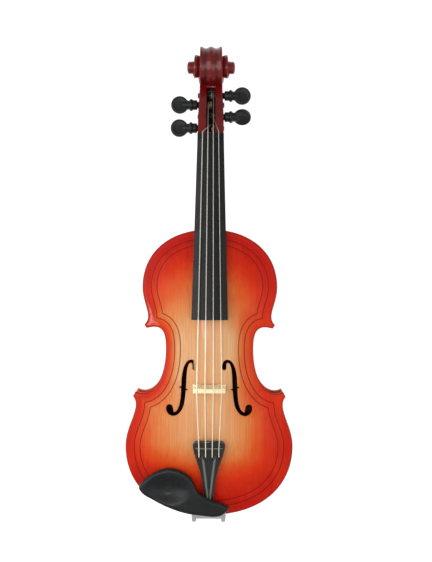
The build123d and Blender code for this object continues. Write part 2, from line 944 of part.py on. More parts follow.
# Bridge
bridge_half = bridge_width / 2
with BuildSketch() as bridge_shape:
    with BuildLine():
        ThreePointArc(
            (-17.4, bridge_top - crown_drop(17.4, bridge_radius)),
            (0, bridge_top),
            (17.4, bridge_top - crown_drop(17.4, bridge_radius)),
        )
        Bezier(
            (17.4, bridge_top - crown_drop(17.4, bridge_radius)),
            (20.4, bridge_top - 4.9),
            (20.6, bridge_top - 8.6),
            (17.2, bridge_top - 10.4),
        )
        Bezier(
            (17.2, bridge_top - 10.4),
            (13.4, bridge_top - 12.4),
            (12.4, bridge_top - 15.6),
            (15.4, bridge_top - 18.4),
        )
        Bezier(
            (15.4, bridge_top - 18.4),
            (17.2, bridge_top - 20.4),
            (17.4, bridge_top - 22.6),
            (bridge_half, bridge_top - 24.4),
        )
        Polyline((bridge_half, bridge_top - 24.4), (bridge_half, bridge_top - 32))
        Polyline((bridge_half, bridge_top - 32), (10.6, bridge_top - 32), (10.6, bridge_top - 24.2))
        Bezier(
            (10.6, bridge_top - 24.2),
            (9, bridge_top - 20.6),
            (-9, bridge_top - 20.6),
            (-10.6, bridge_top - 24.2),
        )
        Polyline((-10.6, bridge_top - 24.2), (-10.6, bridge_top - 32), (-bridge_half, bridge_top - 32))
        Polyline((-bridge_half, bridge_top - 32), (-bridge_half, bridge_top - 24.4))
        Bezier(
            (-bridge_half, bridge_top - 24.4),
            (-17.4, bridge_top - 22.6),
            (-17.2, bridge_top - 20.4),
            (-15.4, bridge_top - 18.4),
        )
        Bezier(
            (-15.4, bridge_top - 18.4),
            (-12.4, bridge_top - 15.6),
            (-13.4, bridge_top - 12.4),
            (-17.2, bridge_top - 10.4),
        )
        Bezier(
            (-17.2, bridge_top - 10.4),
            (-20.6, bridge_top - 8.6),
            (-20.4, bridge_top - 4.9),
            (-17.4, bridge_top - crown_drop(17.4, bridge_radius)),
        )
    make_face()
    with Locations((0, bridge_top - 11)):
        Circle(2.8, mode=Mode.SUBTRACT)
    for side in (1, -1):
        with Locations((side * 8.6, bridge_top - 14.6)):
            Circle(2.4, mode=Mode.SUBTRACT)

bridge_slope = (bridge_foot_thickness - bridge_top_thickness) / 2
with BuildPart() as bridge:
    with BuildSketch(section(bridge_station + bridge_foot_thickness / 2)):
        add(bridge_shape.sketch)
    extrude(amount=bridge_foot_thickness)
    with BuildSketch(profile(-30)):
        with BuildLine():
            Polyline(
                (bridge_station - bridge_foot_thickness / 2, bridge_top - 34),
                (bridge_station + bridge_foot_thickness / 2, bridge_top - 34),
                (bridge_station + bridge_foot_thickness / 2, bridge_top - 24),
                (bridge_station + bridge_foot_thickness / 2 - bridge_slope, bridge_top + 1),
                (bridge_station - bridge_foot_thickness / 2 + bridge_slope, bridge_top + 1),
                (bridge_station - bridge_foot_thickness / 2, bridge_top - 24),
                close=True,
            )
        make_face()
    extrude(amount=60, mode=Mode.INTERSECT)
    add(bridge_seat, mode=Mode.SUBTRACT)

# Strings: straight runs from tailpiece to peg, bent over fret, bridge and nut
string_names = ("g", "d", "a", "e")
string_slots = {"g": 0.0, "d": -3.3, "a": 3.3, "e": 1.5}
wrap_starts = {"g": 1.6, "d": -1.9, "a": 2.1, "e": 2.8}
wrap_sides = {"g": 1, "d": 1, "a": -1, "e": 1}
wrap_turns = {"g": 2.0, "d": 2.4, "a": 2.4, "e": 2.0}
tail_radius = 60.0
tail_top_height = 72.0
tail_end_height = 58.5
fret_station = 87.0
fret_width = 1.6
fret_rise = 1.2
hole_station = 76.0
hole_wall = 2.8
ball_radius = 2.3


def spread(name, width):
    # strings are spaced evenly over their spread
    return width * (string_names.index(name) / 3 - 0.5)


def tail_z(y):
    # middle of the tailpiece's upper surface
    slope = (tail_top_height - tail_end_height) / (tail_top_station - tail_end_station)
    return tail_end_height + slope * (y - tail_end_station)


def at(x, y, z):
    return Vector(x, tail_y + y, z)


def peg_touch(name, radius, start_y, start_z):
    # point where a line from the nut touches a circle round the peg, on its far side
    centre_y = nut_station + peg_stations[name]
    centre_z = peg_heights[name]
    reach = math.hypot(start_y - centre_y, start_z - centre_z)
    heading = math.atan2(start_z - centre_z, start_y - centre_y)
    angle = heading - math.acos(radius / reach)
    return centre_y + radius * math.cos(angle), centre_z + radius * math.sin(angle)


def string_route(name):
    thick = string_diameters[name] / 2
    rest = thick + string_rest_gap
    tail_x = spread(name, string_spread_tail)
    bridge_x = spread(name, string_spread_bridge)
    nut_x = spread(name, string_spread_nut)
    tail_drop = crown_drop(tail_x, tail_radius)
    ball_top = tail_z(hole_station) - tail_drop - hole_wall - string_rest_gap
    bridge_z = bridge_top - crown_drop(bridge_x, bridge_radius) + rest
    nut_crown = crown_drop(board_width_nut / 2, board_radius) - crown_drop(nut_x, board_radius)
    nut_end = nut_station + nut_length
    nut_front = board_z(nut_station) + board_side + nut_rise + nut_crown + rest
    nut_back = board_z(nut_end) + board_side + 0.2 + nut_crown + rest
    reach = peg_radius + soft_gap + thick
    lip = nut_end + 1.4
    touch_y, touch_z = peg_touch(name, reach, lip, nut_back)
    half_top = bridge_top_thickness / 2
    return [
        at(tail_x, hole_station, ball_top),
        at(tail_x, hole_station, tail_z(hole_station) - tail_drop + thick + soft_gap),
        at(tail_x, fret_station, tail_z(fret_station) - tail_drop + fret_rise + rest),
        at(bridge_x, bridge_station - half_top, bridge_z),
        at(bridge_x, bridge_station + half_top, bridge_z),
        at(nut_x, nut_station, nut_front),
        at(nut_x, lip, nut_back),
        at(string_slots[name], touch_y, touch_z),
    ]


def string_run(name):
    route = string_route(name)
    with BuildPart() as run:
        with BuildLine() as path:
            FilletPolyline(*route, radius=(1.0, 2.0, 2.0, 2.0, 2.0, 2.0))
        with BuildSketch(Plane(origin=path.line @ 0, z_dir=path.line % 0)):
            Circle(string_diameters[name] / 2)
        sweep(path=path.line)
    return run


def string_wrap(name):
    # turns of string wound on the peg beside the point where the run ends
    thick = string_diameters[name]
    pitch = thick + 0.1
    coil = peg_radius - 0.2 + thick / 2
    start = wrap_starts[name]
    centre = at(start, nut_station + peg_stations[name], peg_heights[name])
    with BuildPart() as wound:
        with BuildLine() as path:
            Helix(pitch, pitch * wrap_turns[name], coil, center=centre, direction=(wrap_sides[name], 0, 0))
        with BuildSketch(Plane(origin=path.line @ 0, z_dir=path.line % 0)):
            Circle(thick / 2)
        sweep(path=path.line, is_frenet=True)
    return wound


string_g = string_run("g")
string_d = string_run("d")
string_a = string_run("a")
string_e = string_run("e")
string_g_wrap = string_wrap("g")
string_d_wrap = string_wrap("d")
string_a_wrap = string_wrap("a")
string_e_wrap = string_wrap("e")

with BuildPart() as string_balls:
    for name in string_names:
        tail_x = spread(name, string_spread_tail)
        drop = crown_drop(tail_x, tail_radius)
        low = tail_z(hole_station) - drop - hole_wall - 2 * string_rest_gap - ball_radius
        with Locations(Location(at(tail_x, hole_station, low))):
            Sphere(ball_radius)

# Tailpiece: crowned slab cut to its plan shape
tail_half_top = tail_top_width / 2
tail_half_end = tail_end_width / 2


def crowned_outline(y, high, low, half):
    # band between two parallel arches across the instrument
    fall = crown_drop(half, tail_radius)
    with BuildLine() as edge:
        ThreePointArc(
            (-half, tail_z(y) + high - fall),
            (0, tail_z(y) + high),
            (half, tail_z(y) + high - fall),
        )
        Line((half, tail_z(y) + high - fall), (half, tail_z(y) + low - fall))
        ThreePointArc((half, tail_z(y) + low - fall), (0, tail_z(y) + low), (-half, tail_z(y) + low - fall))
        Line((-half, tail_z(y) + low - fall), (-half, tail_z(y) + high - fall))
    return edge.line


def crowned_slab(start, end, high, low, half):
    with BuildPart() as slab:
        for y in (start, end):
            with BuildSketch(section(y)):
                add(crowned_outline(y, high, low, half))
                make_face()
        loft(ruled=True)
    return slab


tail_slab = crowned_slab(tail_end_station - 2, tail_top_station + 2, 0, -tail_thickness, tail_half_top + 2)
tail_recess = crowned_slab(hole_station - 5, hole_station + 5, -hole_wall, -tail_thickness - 3, 16)
tailpiece_fret = crowned_slab(
    fret_station - fret_width / 2,
    fret_station + fret_width / 2,
    fret_rise,
    -0.8,
    16.5,
)

with BuildPart() as tailpiece:
    with BuildSketch(level(tail_end_height - 20)):
        with BuildLine():
            Line((0, tail_end_station), (tail_half_end - 3, tail_end_station))
            Bezier(
                (tail_half_end - 3, tail_end_station),
                (tail_half_end - 0.6, tail_end_station),
                (tail_half_end, tail_end_station + 2),
                (tail_half_end, tail_end_station + 6),
            )
            Bezier(
                (tail_half_end, tail_end_station + 6),
                (tail_half_end + 2.2, tail_end_station + 44),
                (tail_half_top - 0.6, tail_top_station - 24),
                (tail_half_top, tail_top_station - 7),
            )
            Bezier(
                (tail_half_top, tail_top_station - 7),
                (tail_half_top, tail_top_station - 2),
                (tail_half_top - 3, tail_top_station),
                (tail_half_top - 8, tail_top_station),
            )
            Line((tail_half_top - 8, tail_top_station), (0, tail_top_station))
            mirror(about=Plane.YZ)
        make_face()
    extrude(amount=50)
    add(tail_slab.part, mode=Mode.INTERSECT)
    add(tail_recess.part, mode=Mode.SUBTRACT)
    add(tailpiece_fret.part, mode=Mode.SUBTRACT)
    with BuildSketch(level(tail_end_height)):
        for name in string_names:
            with Locations((spread(name, string_spread_tail), hole_station)):
                Circle(tail_hole_radius)
    extrude(amount=30, mode=Mode.SUBTRACT)
    with BuildSketch(section(tail_end_station + 10)):
        for side in (1, -1):
            with Locations((side * 3.5, tail_end_height - 2.9)):
                Circle(gut_radius + glue_gap)
    extrude(amount=20, mode=Mode.SUBTRACT)

# End button on the axis of the lower rib
with BuildPart() as end_button:
    with BuildSketch(Plane(origin=(0, tail_y, button_height), x_dir=(0, 1, 0), z_dir=(1, 0, 0))):
        with BuildLine():
            Polyline(
                (19, 0),
                (19, button_shaft_radius),
                (edge_overhang - 0.1, button_shaft_radius),
                (edge_overhang - 0.1, 5.6),
                (-1.2, 5.6),
                (-1.2, button_neck_radius),
                (-3.3, button_neck_radius),
                (-3.3, button_radius),
                (2 - button_reach, button_radius),
            )
            Bezier(
                (2 - button_reach, button_radius),
                (0.6 - button_reach, button_radius - 0.4),
                (-button_reach, button_radius - 3),
                (-button_reach, 0),
            )
            Line((-button_reach, 0), (19, 0))
        make_face()
    revolve(axis=Axis((0, tail_y, button_height), (0, 1, 0)))

# Tail gut: one loop from the tailpiece over the saddle and round the button
gut_x = 3.5
gut_y = -2.25
gut_side = button_neck_radius + gut_radius + glue_gap
gut_level = tail_end_height - 2.9
gut_saddle = belly_edge + saddle_rise + gut_radius + glue_gap
gut_low = button_height - gut_side - 0.1

with BuildPart() as tail_gut:
    with BuildLine() as gut_path:
        FilletPolyline(
            at(-gut_x, tail_end_station + 8, gut_level),
            at(-gut_x, tail_end_station - 3, gut_level),
            at(-gut_x, saddle_depth + 0.5, gut_saddle),
            at(-gut_x, gut_y, gut_saddle),
            at(-gut_side, gut_y, gut_low),
            at(gut_side, gut_y, gut_low),
            at(gut_x, gut_y, gut_saddle),
            at(gut_x, saddle_depth + 0.5, gut_saddle),
            at(gut_x, tail_end_station - 3, gut_level),
            at(gut_x, tail_end_station + 8, gut_level),
            radius=(2.0, 2.0, 1.8, 3.9, 3.9, 1.8, 2.0, 2.0),
        )
    with BuildSketch(Plane(origin=gut_path.line @ 0, z_dir=gut_path.line % 0)):
        Circle(gut_radius)
    sweep(path=gut_path.line)

# Chinrest with its clamp
rest_low = belly_edge + rest_clearance
rest_top = rest_low + rest_thickness
foot_base = belly_edge + 2.4
bar_thickness = 2.1
bar_half = clamp_spread + 3.0
screw_spread = 11.0
screw_y = 6.7
cup_x = -50.0
cup_y = 36.2
cup_radius = 60.0
cup_depth = 5.0
cork_lift = belly_sheet.moved(Location((0, 0, soft_gap)))
under_cork = extrude(cork_lift, amount=30, dir=(0, 0, -1))

with BuildSketch() as rest_outline:
    with BuildLine():
        Spline(
            (-85.4, 36.3),
            (-72.3, 53.0),
            (-47.6, 61.8),
            (-24.5, 52.3),
            (-11.1, 30.9),
            (2.5, 22.9),
            (14.5, 19.6),
            (24.8, 12.5),
            (18.3, 5.4),
            (-12.6, 4.2),
            (-35.5, 8.6),
            (-53.8, 15.6),
            (-70.0, 23.8),
            (-80.8, 30.5),
            periodic=True,
        )
    make_face()

def rest_feet(low, high):
    # strips that follow the rim of the body at both sides of the tailpiece
    with BuildPart() as feet:
        with BuildSketch(level(low)):
            add(outline_band(0.8, 8))
        extrude(amount=high - low)
        with BuildSketch(level(low - 1)):
            add(rest_outline.sketch)
        extrude(amount=high - low + 2, mode=Mode.INTERSECT)
        with BuildSketch(level(low - 1)):
            with Locations((-40, 10)):
                Rectangle(36, 30)
            with Locations((19.4, 10)):
                Rectangle(7.4, 30)
        extrude(amount=high - low + 2, mode=Mode.INTERSECT)
    return feet


def clamp_plate(depth):
    # bar under the rim of the body, with one tab beyond the rim for each post
    with BuildSketch() as plate:
        with Locations((0, depth / 2 - 1.2)):
            RectangleRounded(2 * bar_half, depth, 1.5)
        for side in (1, -1):
            with Locations((side * clamp_spread, -2.25)):
                RectangleRounded(5.2, 5.5, 1.8)
    return plate.sketch


with BuildPart() as clamp_top:
    with BuildSketch(level(rest_low - bar_thickness)):
        add(clamp_plate(10.2))
    extrude(amount=bar_thickness)
    with BuildSketch(level(rest_low - bar_thickness)):
        for side in (1, -1):
            with Locations((side * clamp_spread, -clamp_offset)):
                Circle(post_radius)
    extrude(amount=-(rest_low - bar_thickness - button_height - 2))
    with BuildSketch(level(rest_low)):
        with Locations((-screw_spread, screw_y), (screw_spread, screw_y)):
            Circle(1.3)
    extrude(amount=-bar_thickness, mode=Mode.SUBTRACT)

with BuildPart() as bar_space:
    with BuildSketch(level(rest_low - bar_thickness - glue_gap)):
        with Locations((0, 2)):
            Rectangle(2 * bar_half + 2 * glue_gap, 14 + 2 * glue_gap)
    extrude(amount=bar_thickness + glue_gap)

with BuildPart() as chinrest:
    with BuildSketch(level(rest_low)):
        add(rest_outline.sketch)
    extrude(amount=rest_thickness)
    with Locations(Location(at(cup_x, cup_y, rest_top - cup_depth + cup_radius))):
        Sphere(cup_radius, mode=Mode.SUBTRACT)
    add(rest_feet(foot_base, rest_low).part)
    add(bar_space.part, mode=Mode.SUBTRACT)
    with BuildSketch(level(rest_low)):
        with Locations((-screw_spread, screw_y), (screw_spread, screw_y)):
            Circle(1.3)
    extrude(amount=6, mode=Mode.SUBTRACT)

with BuildPart() as chinrest_cork:
    add(rest_feet(belly_edge - 1, foot_base - 0.05).part)
    add(under_cork, mode=Mode.SUBTRACT)

with BuildPart() as chinrest_screws:
    with BuildSketch(level(rest_low - bar_thickness)):
        with Locations((-screw_spread, screw_y), (screw_spread, screw_y)):
            Circle(2.2)
    extrude(amount=-1.2)
    with BuildSketch(level(rest_low - bar_thickness)):
        with Locations((-screw_spread, screw_y), (screw_spread, screw_y)):
            Circle(1.2)
    extrude(amount=bar_thickness + 5)

barrel_low = button_height - barrel_length / 2


def clamp_barrel(side):
    # turnbuckle with a cross hole for the key
    with BuildPart() as barrel:
        with BuildSketch(level(barrel_low)):
            with Locations((side * clamp_spread, -clamp_offset)):
                Circle(barrel_radius)
                Circle(post_radius + thread_clearance, mode=Mode.SUBTRACT)
        extrude(amount=barrel_length)
        with BuildSketch(profile(side * clamp_spread - 5)):
            with Locations((-clamp_offset, button_height)):
                Circle(0.9)
        extrude(amount=10, mode=Mode.SUBTRACT)
    return barrel


clamp_barrel_left = clamp_barrel(-1)
clamp_barrel_right = clamp_barrel(1)

foot_low = back_edge - 3.9
foot_thickness = 1.9
with BuildPart() as clamp_foot:
    with BuildSketch(level(foot_low)):
        add(clamp_plate(9.2))
    extrude(amount=foot_thickness)
    with BuildSketch(level(foot_low + foot_thickness)):
        for side in (1, -1):
            with Locations((side * clamp_spread, -clamp_offset)):
                Circle(post_radius)
    extrude(amount=button_height - 3 - foot_low - foot_thickness)

with BuildPart() as clamp_foot_cork:
    with BuildSketch(level(foot_low + foot_thickness)):
        with Locations((0, 4.75)):
            RectangleRounded(2 * bar_half - 2, 6, 1)
    extrude(amount=1.4)

# Labels and files, one per piece
top_plate.part.label = "top_plate"
back_plate.part.label = "back_plate"
rib_lower_left.part.label = "rib_lower_left"
rib_lower_right.part.label = "rib_lower_right"
rib_waist_left.part.label = "rib_waist_left"
rib_waist_right.part.label = "rib_waist_right"
rib_upper_left.part.label = "rib_upper_left"
rib_upper_right.part.label = "rib_upper_right"
linings_top.part.label = "linings_top"
linings_back.part.label = "linings_back"
neck_block.part.label = "neck_block"
end_block.part.label = "end_block"
corner_block_lower_left.part.label = "corner_block_lower_left"
corner_block_lower_right.part.label = "corner_block_lower_right"
corner_block_upper_left.part.label = "corner_block_upper_left"
corner_block_upper_right.part.label = "corner_block_upper_right"
bass_bar.part.label = "bass_bar"
sound_post.part.label = "sound_post"
purfling_outer.part.label = "purfling_outer"
purfling_inner.part.label = "purfling_inner"
purfling_back.part.label = "purfling_back"
neck.part.label = "neck"
fingerboard.part.label = "fingerboard"
nut.part.label = "nut"
peg_g.part.label = "peg_g"
peg_d.part.label = "peg_d"
peg_a.part.label = "peg_a"
peg_e.part.label = "peg_e"
bridge.part.label = "bridge"
string_g.part.label = "string_g"
string_d.part.label = "string_d"
string_a.part.label = "string_a"
string_e.part.label = "string_e"
string_g_wrap.part.label = "string_g_wrap"
string_d_wrap.part.label = "string_d_wrap"
string_a_wrap.part.label = "string_a_wrap"
string_e_wrap.part.label = "string_e_wrap"
string_balls.part.label = "string_balls"
tailpiece.part.label = "tailpiece"
tailpiece_fret.part.label = "tailpiece_fret"
tail_gut.part.label = "tail_gut"
end_button.part.label = "end_button"
lower_saddle.part.label = "lower_saddle"
chinrest.part.label = "chinrest"
chinrest_cork.part.label = "chinrest_cork"
chinrest_screws.part.label = "chinrest_screws"
clamp_top.part.label = "clamp_top"
clamp_barrel_left.part.label = "clamp_barrel_left"
clamp_barrel_right.part.label = "clamp_barrel_right"
clamp_foot.part.label = "clamp_foot"
clamp_foot_cork.part.label = "clamp_foot_cork"
export_step(top_plate.part, "parts/top_plate.step")
export_step(back_plate.part, "parts/back_plate.step")
export_step(rib_lower_left.part, "parts/rib_lower_left.step")
export_step(rib_lower_right.part, "parts/rib_lower_right.step")
export_step(rib_waist_left.part, "parts/rib_waist_left.step")
export_step(rib_waist_right.part, "parts/rib_waist_right.step")
export_step(rib_upper_left.part, "parts/rib_upper_left.step")
export_step(rib_upper_right.part, "parts/rib_upper_right.step")
export_step(linings_top.part, "parts/linings_top.step")
export_step(linings_back.part, "parts/linings_back.step")
export_step(neck_block.part, "parts/neck_block.step")
export_step(end_block.part, "parts/end_block.step")
export_step(corner_block_lower_left.part, "parts/corner_block_lower_left.step")
export_step(corner_block_lower_right.part, "parts/corner_block_lower_right.step")
export_step(corner_block_upper_left.part, "parts/corner_block_upper_left.step")
export_step(corner_block_upper_right.part, "parts/corner_block_upper_right.step")
export_step(bass_bar.part, "parts/bass_bar.step")
export_step(sound_post.part, "parts/sound_post.step")
export_step(purfling_outer.part, "parts/purfling_outer.step")
export_step(purfling_inner.part, "parts/purfling_inner.step")
export_step(purfling_back.part, "parts/purfling_back.step")
export_step(neck.part, "parts/neck.step")
export_step(fingerboard.part, "parts/fingerboard.step")
export_step(nut.part, "parts/nut.step")
export_step(peg_g.part, "parts/peg_g.step")
export_step(peg_d.part, "parts/peg_d.step")
export_step(peg_a.part, "parts/peg_a.step")
export_step(peg_e.part, "parts/peg_e.step")
export_step(bridge.part, "parts/bridge.step")
export_step(string_g.part, "parts/string_g.step")
export_step(string_d.part, "parts/string_d.step")
export_step(string_a.part, "parts/string_a.step")
export_step(string_e.part, "parts/string_e.step")
export_step(string_g_wrap.part, "parts/string_g_wrap.step")
export_step(string_d_wrap.part, "parts/string_d_wrap.step")
export_step(string_a_wrap.part, "parts/string_a_wrap.step")
export_step(string_e_wrap.part, "parts/string_e_wrap.step")
export_step(string_balls.part, "parts/string_balls.step")
export_step(tailpiece.part, "parts/tailpiece.step")
export_step(tailpiece_fret.part, "parts/tailpiece_fret.step")
export_step(tail_gut.part, "parts/tail_gut.step")
export_step(end_button.part, "parts/end_button.step")
export_step(lower_saddle.part, "parts/lower_saddle.step")
export_step(chinrest.part, "parts/chinrest.step")
export_step(chinrest_cork.part, "parts/chinrest_cork.step")
export_step(chinrest_screws.part, "parts/chinrest_screws.step")
export_step(clamp_top.part, "parts/clamp_top.step")
export_step(clamp_barrel_left.part, "parts/clamp_barrel_left.step")
export_step(clamp_barrel_right.part, "parts/clamp_barrel_right.step")
export_step(clamp_foot.part, "parts/clamp_foot.step")
export_step(clamp_foot_cork.part, "parts/clamp_foot_cork.step")
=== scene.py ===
import bpy
import numpy as np
from math import radians
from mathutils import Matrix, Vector
from mathutils.geometry import delaunay_2d_cdt


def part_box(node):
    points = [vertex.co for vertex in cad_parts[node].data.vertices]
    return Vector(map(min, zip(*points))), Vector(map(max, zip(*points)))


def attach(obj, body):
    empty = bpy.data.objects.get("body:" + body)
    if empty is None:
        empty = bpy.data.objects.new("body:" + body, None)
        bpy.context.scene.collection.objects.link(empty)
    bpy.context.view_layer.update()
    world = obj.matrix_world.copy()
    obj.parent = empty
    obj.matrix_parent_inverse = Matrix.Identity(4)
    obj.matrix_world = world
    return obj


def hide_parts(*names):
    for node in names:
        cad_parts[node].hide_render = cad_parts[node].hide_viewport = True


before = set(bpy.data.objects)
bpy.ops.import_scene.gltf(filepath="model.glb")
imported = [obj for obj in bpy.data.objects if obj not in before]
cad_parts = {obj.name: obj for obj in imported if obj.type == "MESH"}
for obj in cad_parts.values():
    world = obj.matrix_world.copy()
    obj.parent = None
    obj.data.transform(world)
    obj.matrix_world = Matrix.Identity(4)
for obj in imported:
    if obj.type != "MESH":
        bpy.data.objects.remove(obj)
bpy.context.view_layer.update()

# A full-size violin lying on its back: +X is the treble side, +Y runs towards
# the scroll and +Z out of the belly.  Shapes are worked out in millimetres with
# y counted from the tail end of the body, and turned to metres in piece_mesh.
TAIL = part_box("back_plate")[0][1] * 1000
LENGTH = 356.0
HALF_LOWER = 104.2
HALF_WAIST = 54.4
HALF_UPPER = 84.0
BACK_EDGE = 11.0
RIB_LOW = 15.0
RIB_TOP = 46.0
BELLY_EDGE = 50.0
BELLY_ARCH = 11.5
NUT_STATION = 468.0
SCROLL_Y = 562.3
SCROLL_Z = 29.5
PURFLING_LINES = (11.2, 18.4)


# ---------------------------------------------------------------- mesh tools
def piece_mesh(name, points, faces, body, material, smooth=True, **values):
    """Object whose mesh holds the given points (mm, y from the tail end) and faces."""
    mesh = bpy.data.meshes.new(name)
    place = np.array(points, dtype=float) + np.array([0.0, TAIL, 0.0])
    mesh.from_pydata((place / 1000).tolist(), [], [list(map(int, f)) for f in faces])
    mesh.validate()
    for key, numbers in values.items():
        layer = mesh.attributes.new(key, "FLOAT", "POINT")
        layer.data.foreach_set("value", np.asarray(numbers, dtype=np.float32))
    mesh.polygons.foreach_set("use_smooth", np.full(len(mesh.polygons), smooth))
    mesh.materials.append(material)
    mesh.update()
    piece = bpy.data.objects.new(name, mesh)
    bpy.context.scene.collection.objects.link(piece)
    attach(piece, body)
    return piece


def grid_faces(rows, columns, start=0):
    """Quads of a tube whose rows are closed rings, with both end rings left open."""
    i = np.arange(rows - 1)[:, None]
    j = np.arange(columns)[None, :]
    k = (j + 1) % columns
    quads = np.stack([i * columns + j, i * columns + k, (i + 1) * columns + k, (i + 1) * columns + j], -1)
    return (quads.reshape(-1, 4) + start).tolist()


def tube(rings):
    """Closed solid through a stack of rings: rings is rows x columns x 3, ends closed by a fan to a
    pole, and the faces turned round where the volume they enclose comes out negative."""
    rings = np.asarray(rings, dtype=float)
    rows, columns = rings.shape[:2]
    points = np.vstack([rings.reshape(-1, 3), rings[0].mean(0), rings[-1].mean(0)])
    faces = grid_faces(rows, columns)
    low, high = rows * columns, rows * columns + 1
    last = (rows - 1) * columns
    for j in range(columns):
        k = (j + 1) % columns
        faces.append([low, k, j])
        faces.append([high, last + j, last + k])
    thirds = np.array([f[:3] for f in faces] + [[f[0], f[2], f[3]] for f in faces if len(f) == 4])
    a, b, c = (points[thirds[:, n]] - points[low] for n in range(3))
    if np.sum(a * np.cross(b, c)) < 0:
        faces = [f[::-1] for f in faces]
    return points, faces


def turned(profile, centre, axis, count=56):
    """Turned form: each (along, radius) pair of the profile is carried round the axis through centre."""
    axis = np.asarray(axis, dtype=float) / np.linalg.norm(axis)
    side = np.cross(axis, [0.0, 0.0, 1.0] if abs(axis[2]) < 0.9 else [0.0, 1.0, 0.0])
    side /= np.linalg.norm(side)
    up = np.cross(axis, side)
    along, radius = np.array(profile, dtype=float).T
    turn = np.linspace(0, 2 * np.pi, count, endpoint=False)
    spoke = np.cos(turn)[:, None] * side + np.sin(turn)[:, None] * up
    return np.asarray(centre) + along[:, None, None] * axis + radius[:, None, None] * spoke[None]


def join_solids(solids):
    """Points and faces of several (points, faces) pairs put together."""
    points, faces, start = [], [], 0
    for some_points, some_faces in solids:
        points.append(some_points)
        faces += [[i + start for i in f] for f in some_faces]
        start += len(some_points)
    return np.vstack(points), faces


def bezier(points, count):
    """Cubic curve through four controls, without its last point."""
    t = np.linspace(0, 1, count, endpoint=False)[:, None]
    a, b, c, d = np.array(points, dtype=float)
    return a * (1 - t) ** 3 + 3 * b * t * (1 - t) ** 2 + 3 * c * t**2 * (1 - t) + d * t**3


def curve_height(pieces, at):
    """Height of a chain of cubic curves given as (y, z) controls, read at each y."""
    line = np.vstack([bezier(p, 40) for p in pieces] + [[pieces[-1][-1]]])
    return np.interp(at, line[:, 0], line[:, 1])


def smooth_step(value, low, high):
    """Rises from 0 at low to 1 at high along a cubic that is level at both ends."""
    t = np.clip((value - low) / (high - low), 0, 1)
    return t * t * (3 - 2 * t)


# ------------------------------------------------------------- plates by height
def edge_distance(points, outline, block=4000):
    """Distance from each point to the closed outline, by its nearest segment."""
    a = outline
    b = np.roll(outline, -1, axis=0)
    run = b - a
    size = np.maximum((run**2).sum(1), 1e-12)
    result = np.empty(len(points))
    for i in range(0, len(points), block):
        p = points[i : i + block, None, :]
        t = np.clip(((p - a) * run).sum(-1) / size, 0, 1)
        gap = p - (a + t[..., None] * run)
        result[i : i + block] = np.sqrt((gap**2).sum(-1).min(1))
    return result


def inside(points, outline, block=4000):
    """True where a point lies inside the closed outline, by counting crossings."""
    a = outline
    b = np.roll(outline, -1, axis=0)
    result = np.empty(len(points), dtype=bool)
    for i in range(0, len(points), block):
        x, y = points[i : i + block, 0:1], points[i : i + block, 1:2]
        spans = (a[:, 1] > y) != (b[:, 1] > y)
        rise = np.where(b[:, 1] == a[:, 1], 1e-12, b[:, 1] - a[:, 1])
        cross = x < (b[:, 0] - a[:, 0]) * (y - a[:, 1]) / rise + a[:, 0]
        result[i : i + block] = (spans & cross).sum(1) % 2 == 1
    return result


def evened(outline, spacing):
    """Closed outline resampled to even spacing, with its sharp corners kept."""
    closed = np.vstack([outline, outline[:1]])
    step = np.hypot(*np.diff(closed, axis=0).T)
    run = np.concatenate([[0], np.cumsum(step)])
    heading = np.unwrap(np.arctan2(*np.diff(closed, axis=0).T[::-1]))
    sharp = np.where(np.abs(np.diff(heading)) > 0.35)[0] + 1
    marks = np.unique(np.concatenate([[0], run[sharp], [run[-1]]]))
    keep = []
    for m, n in zip(marks, marks[1:]):
        count = max(2, int(round((n - m) / spacing)) + 1)
        keep.append(np.linspace(m, n, count)[:-1])
    keep = np.concatenate(keep)
    return np.stack([np.interp(keep, run, closed[:, 0]), np.interp(keep, run, closed[:, 1])], 1)


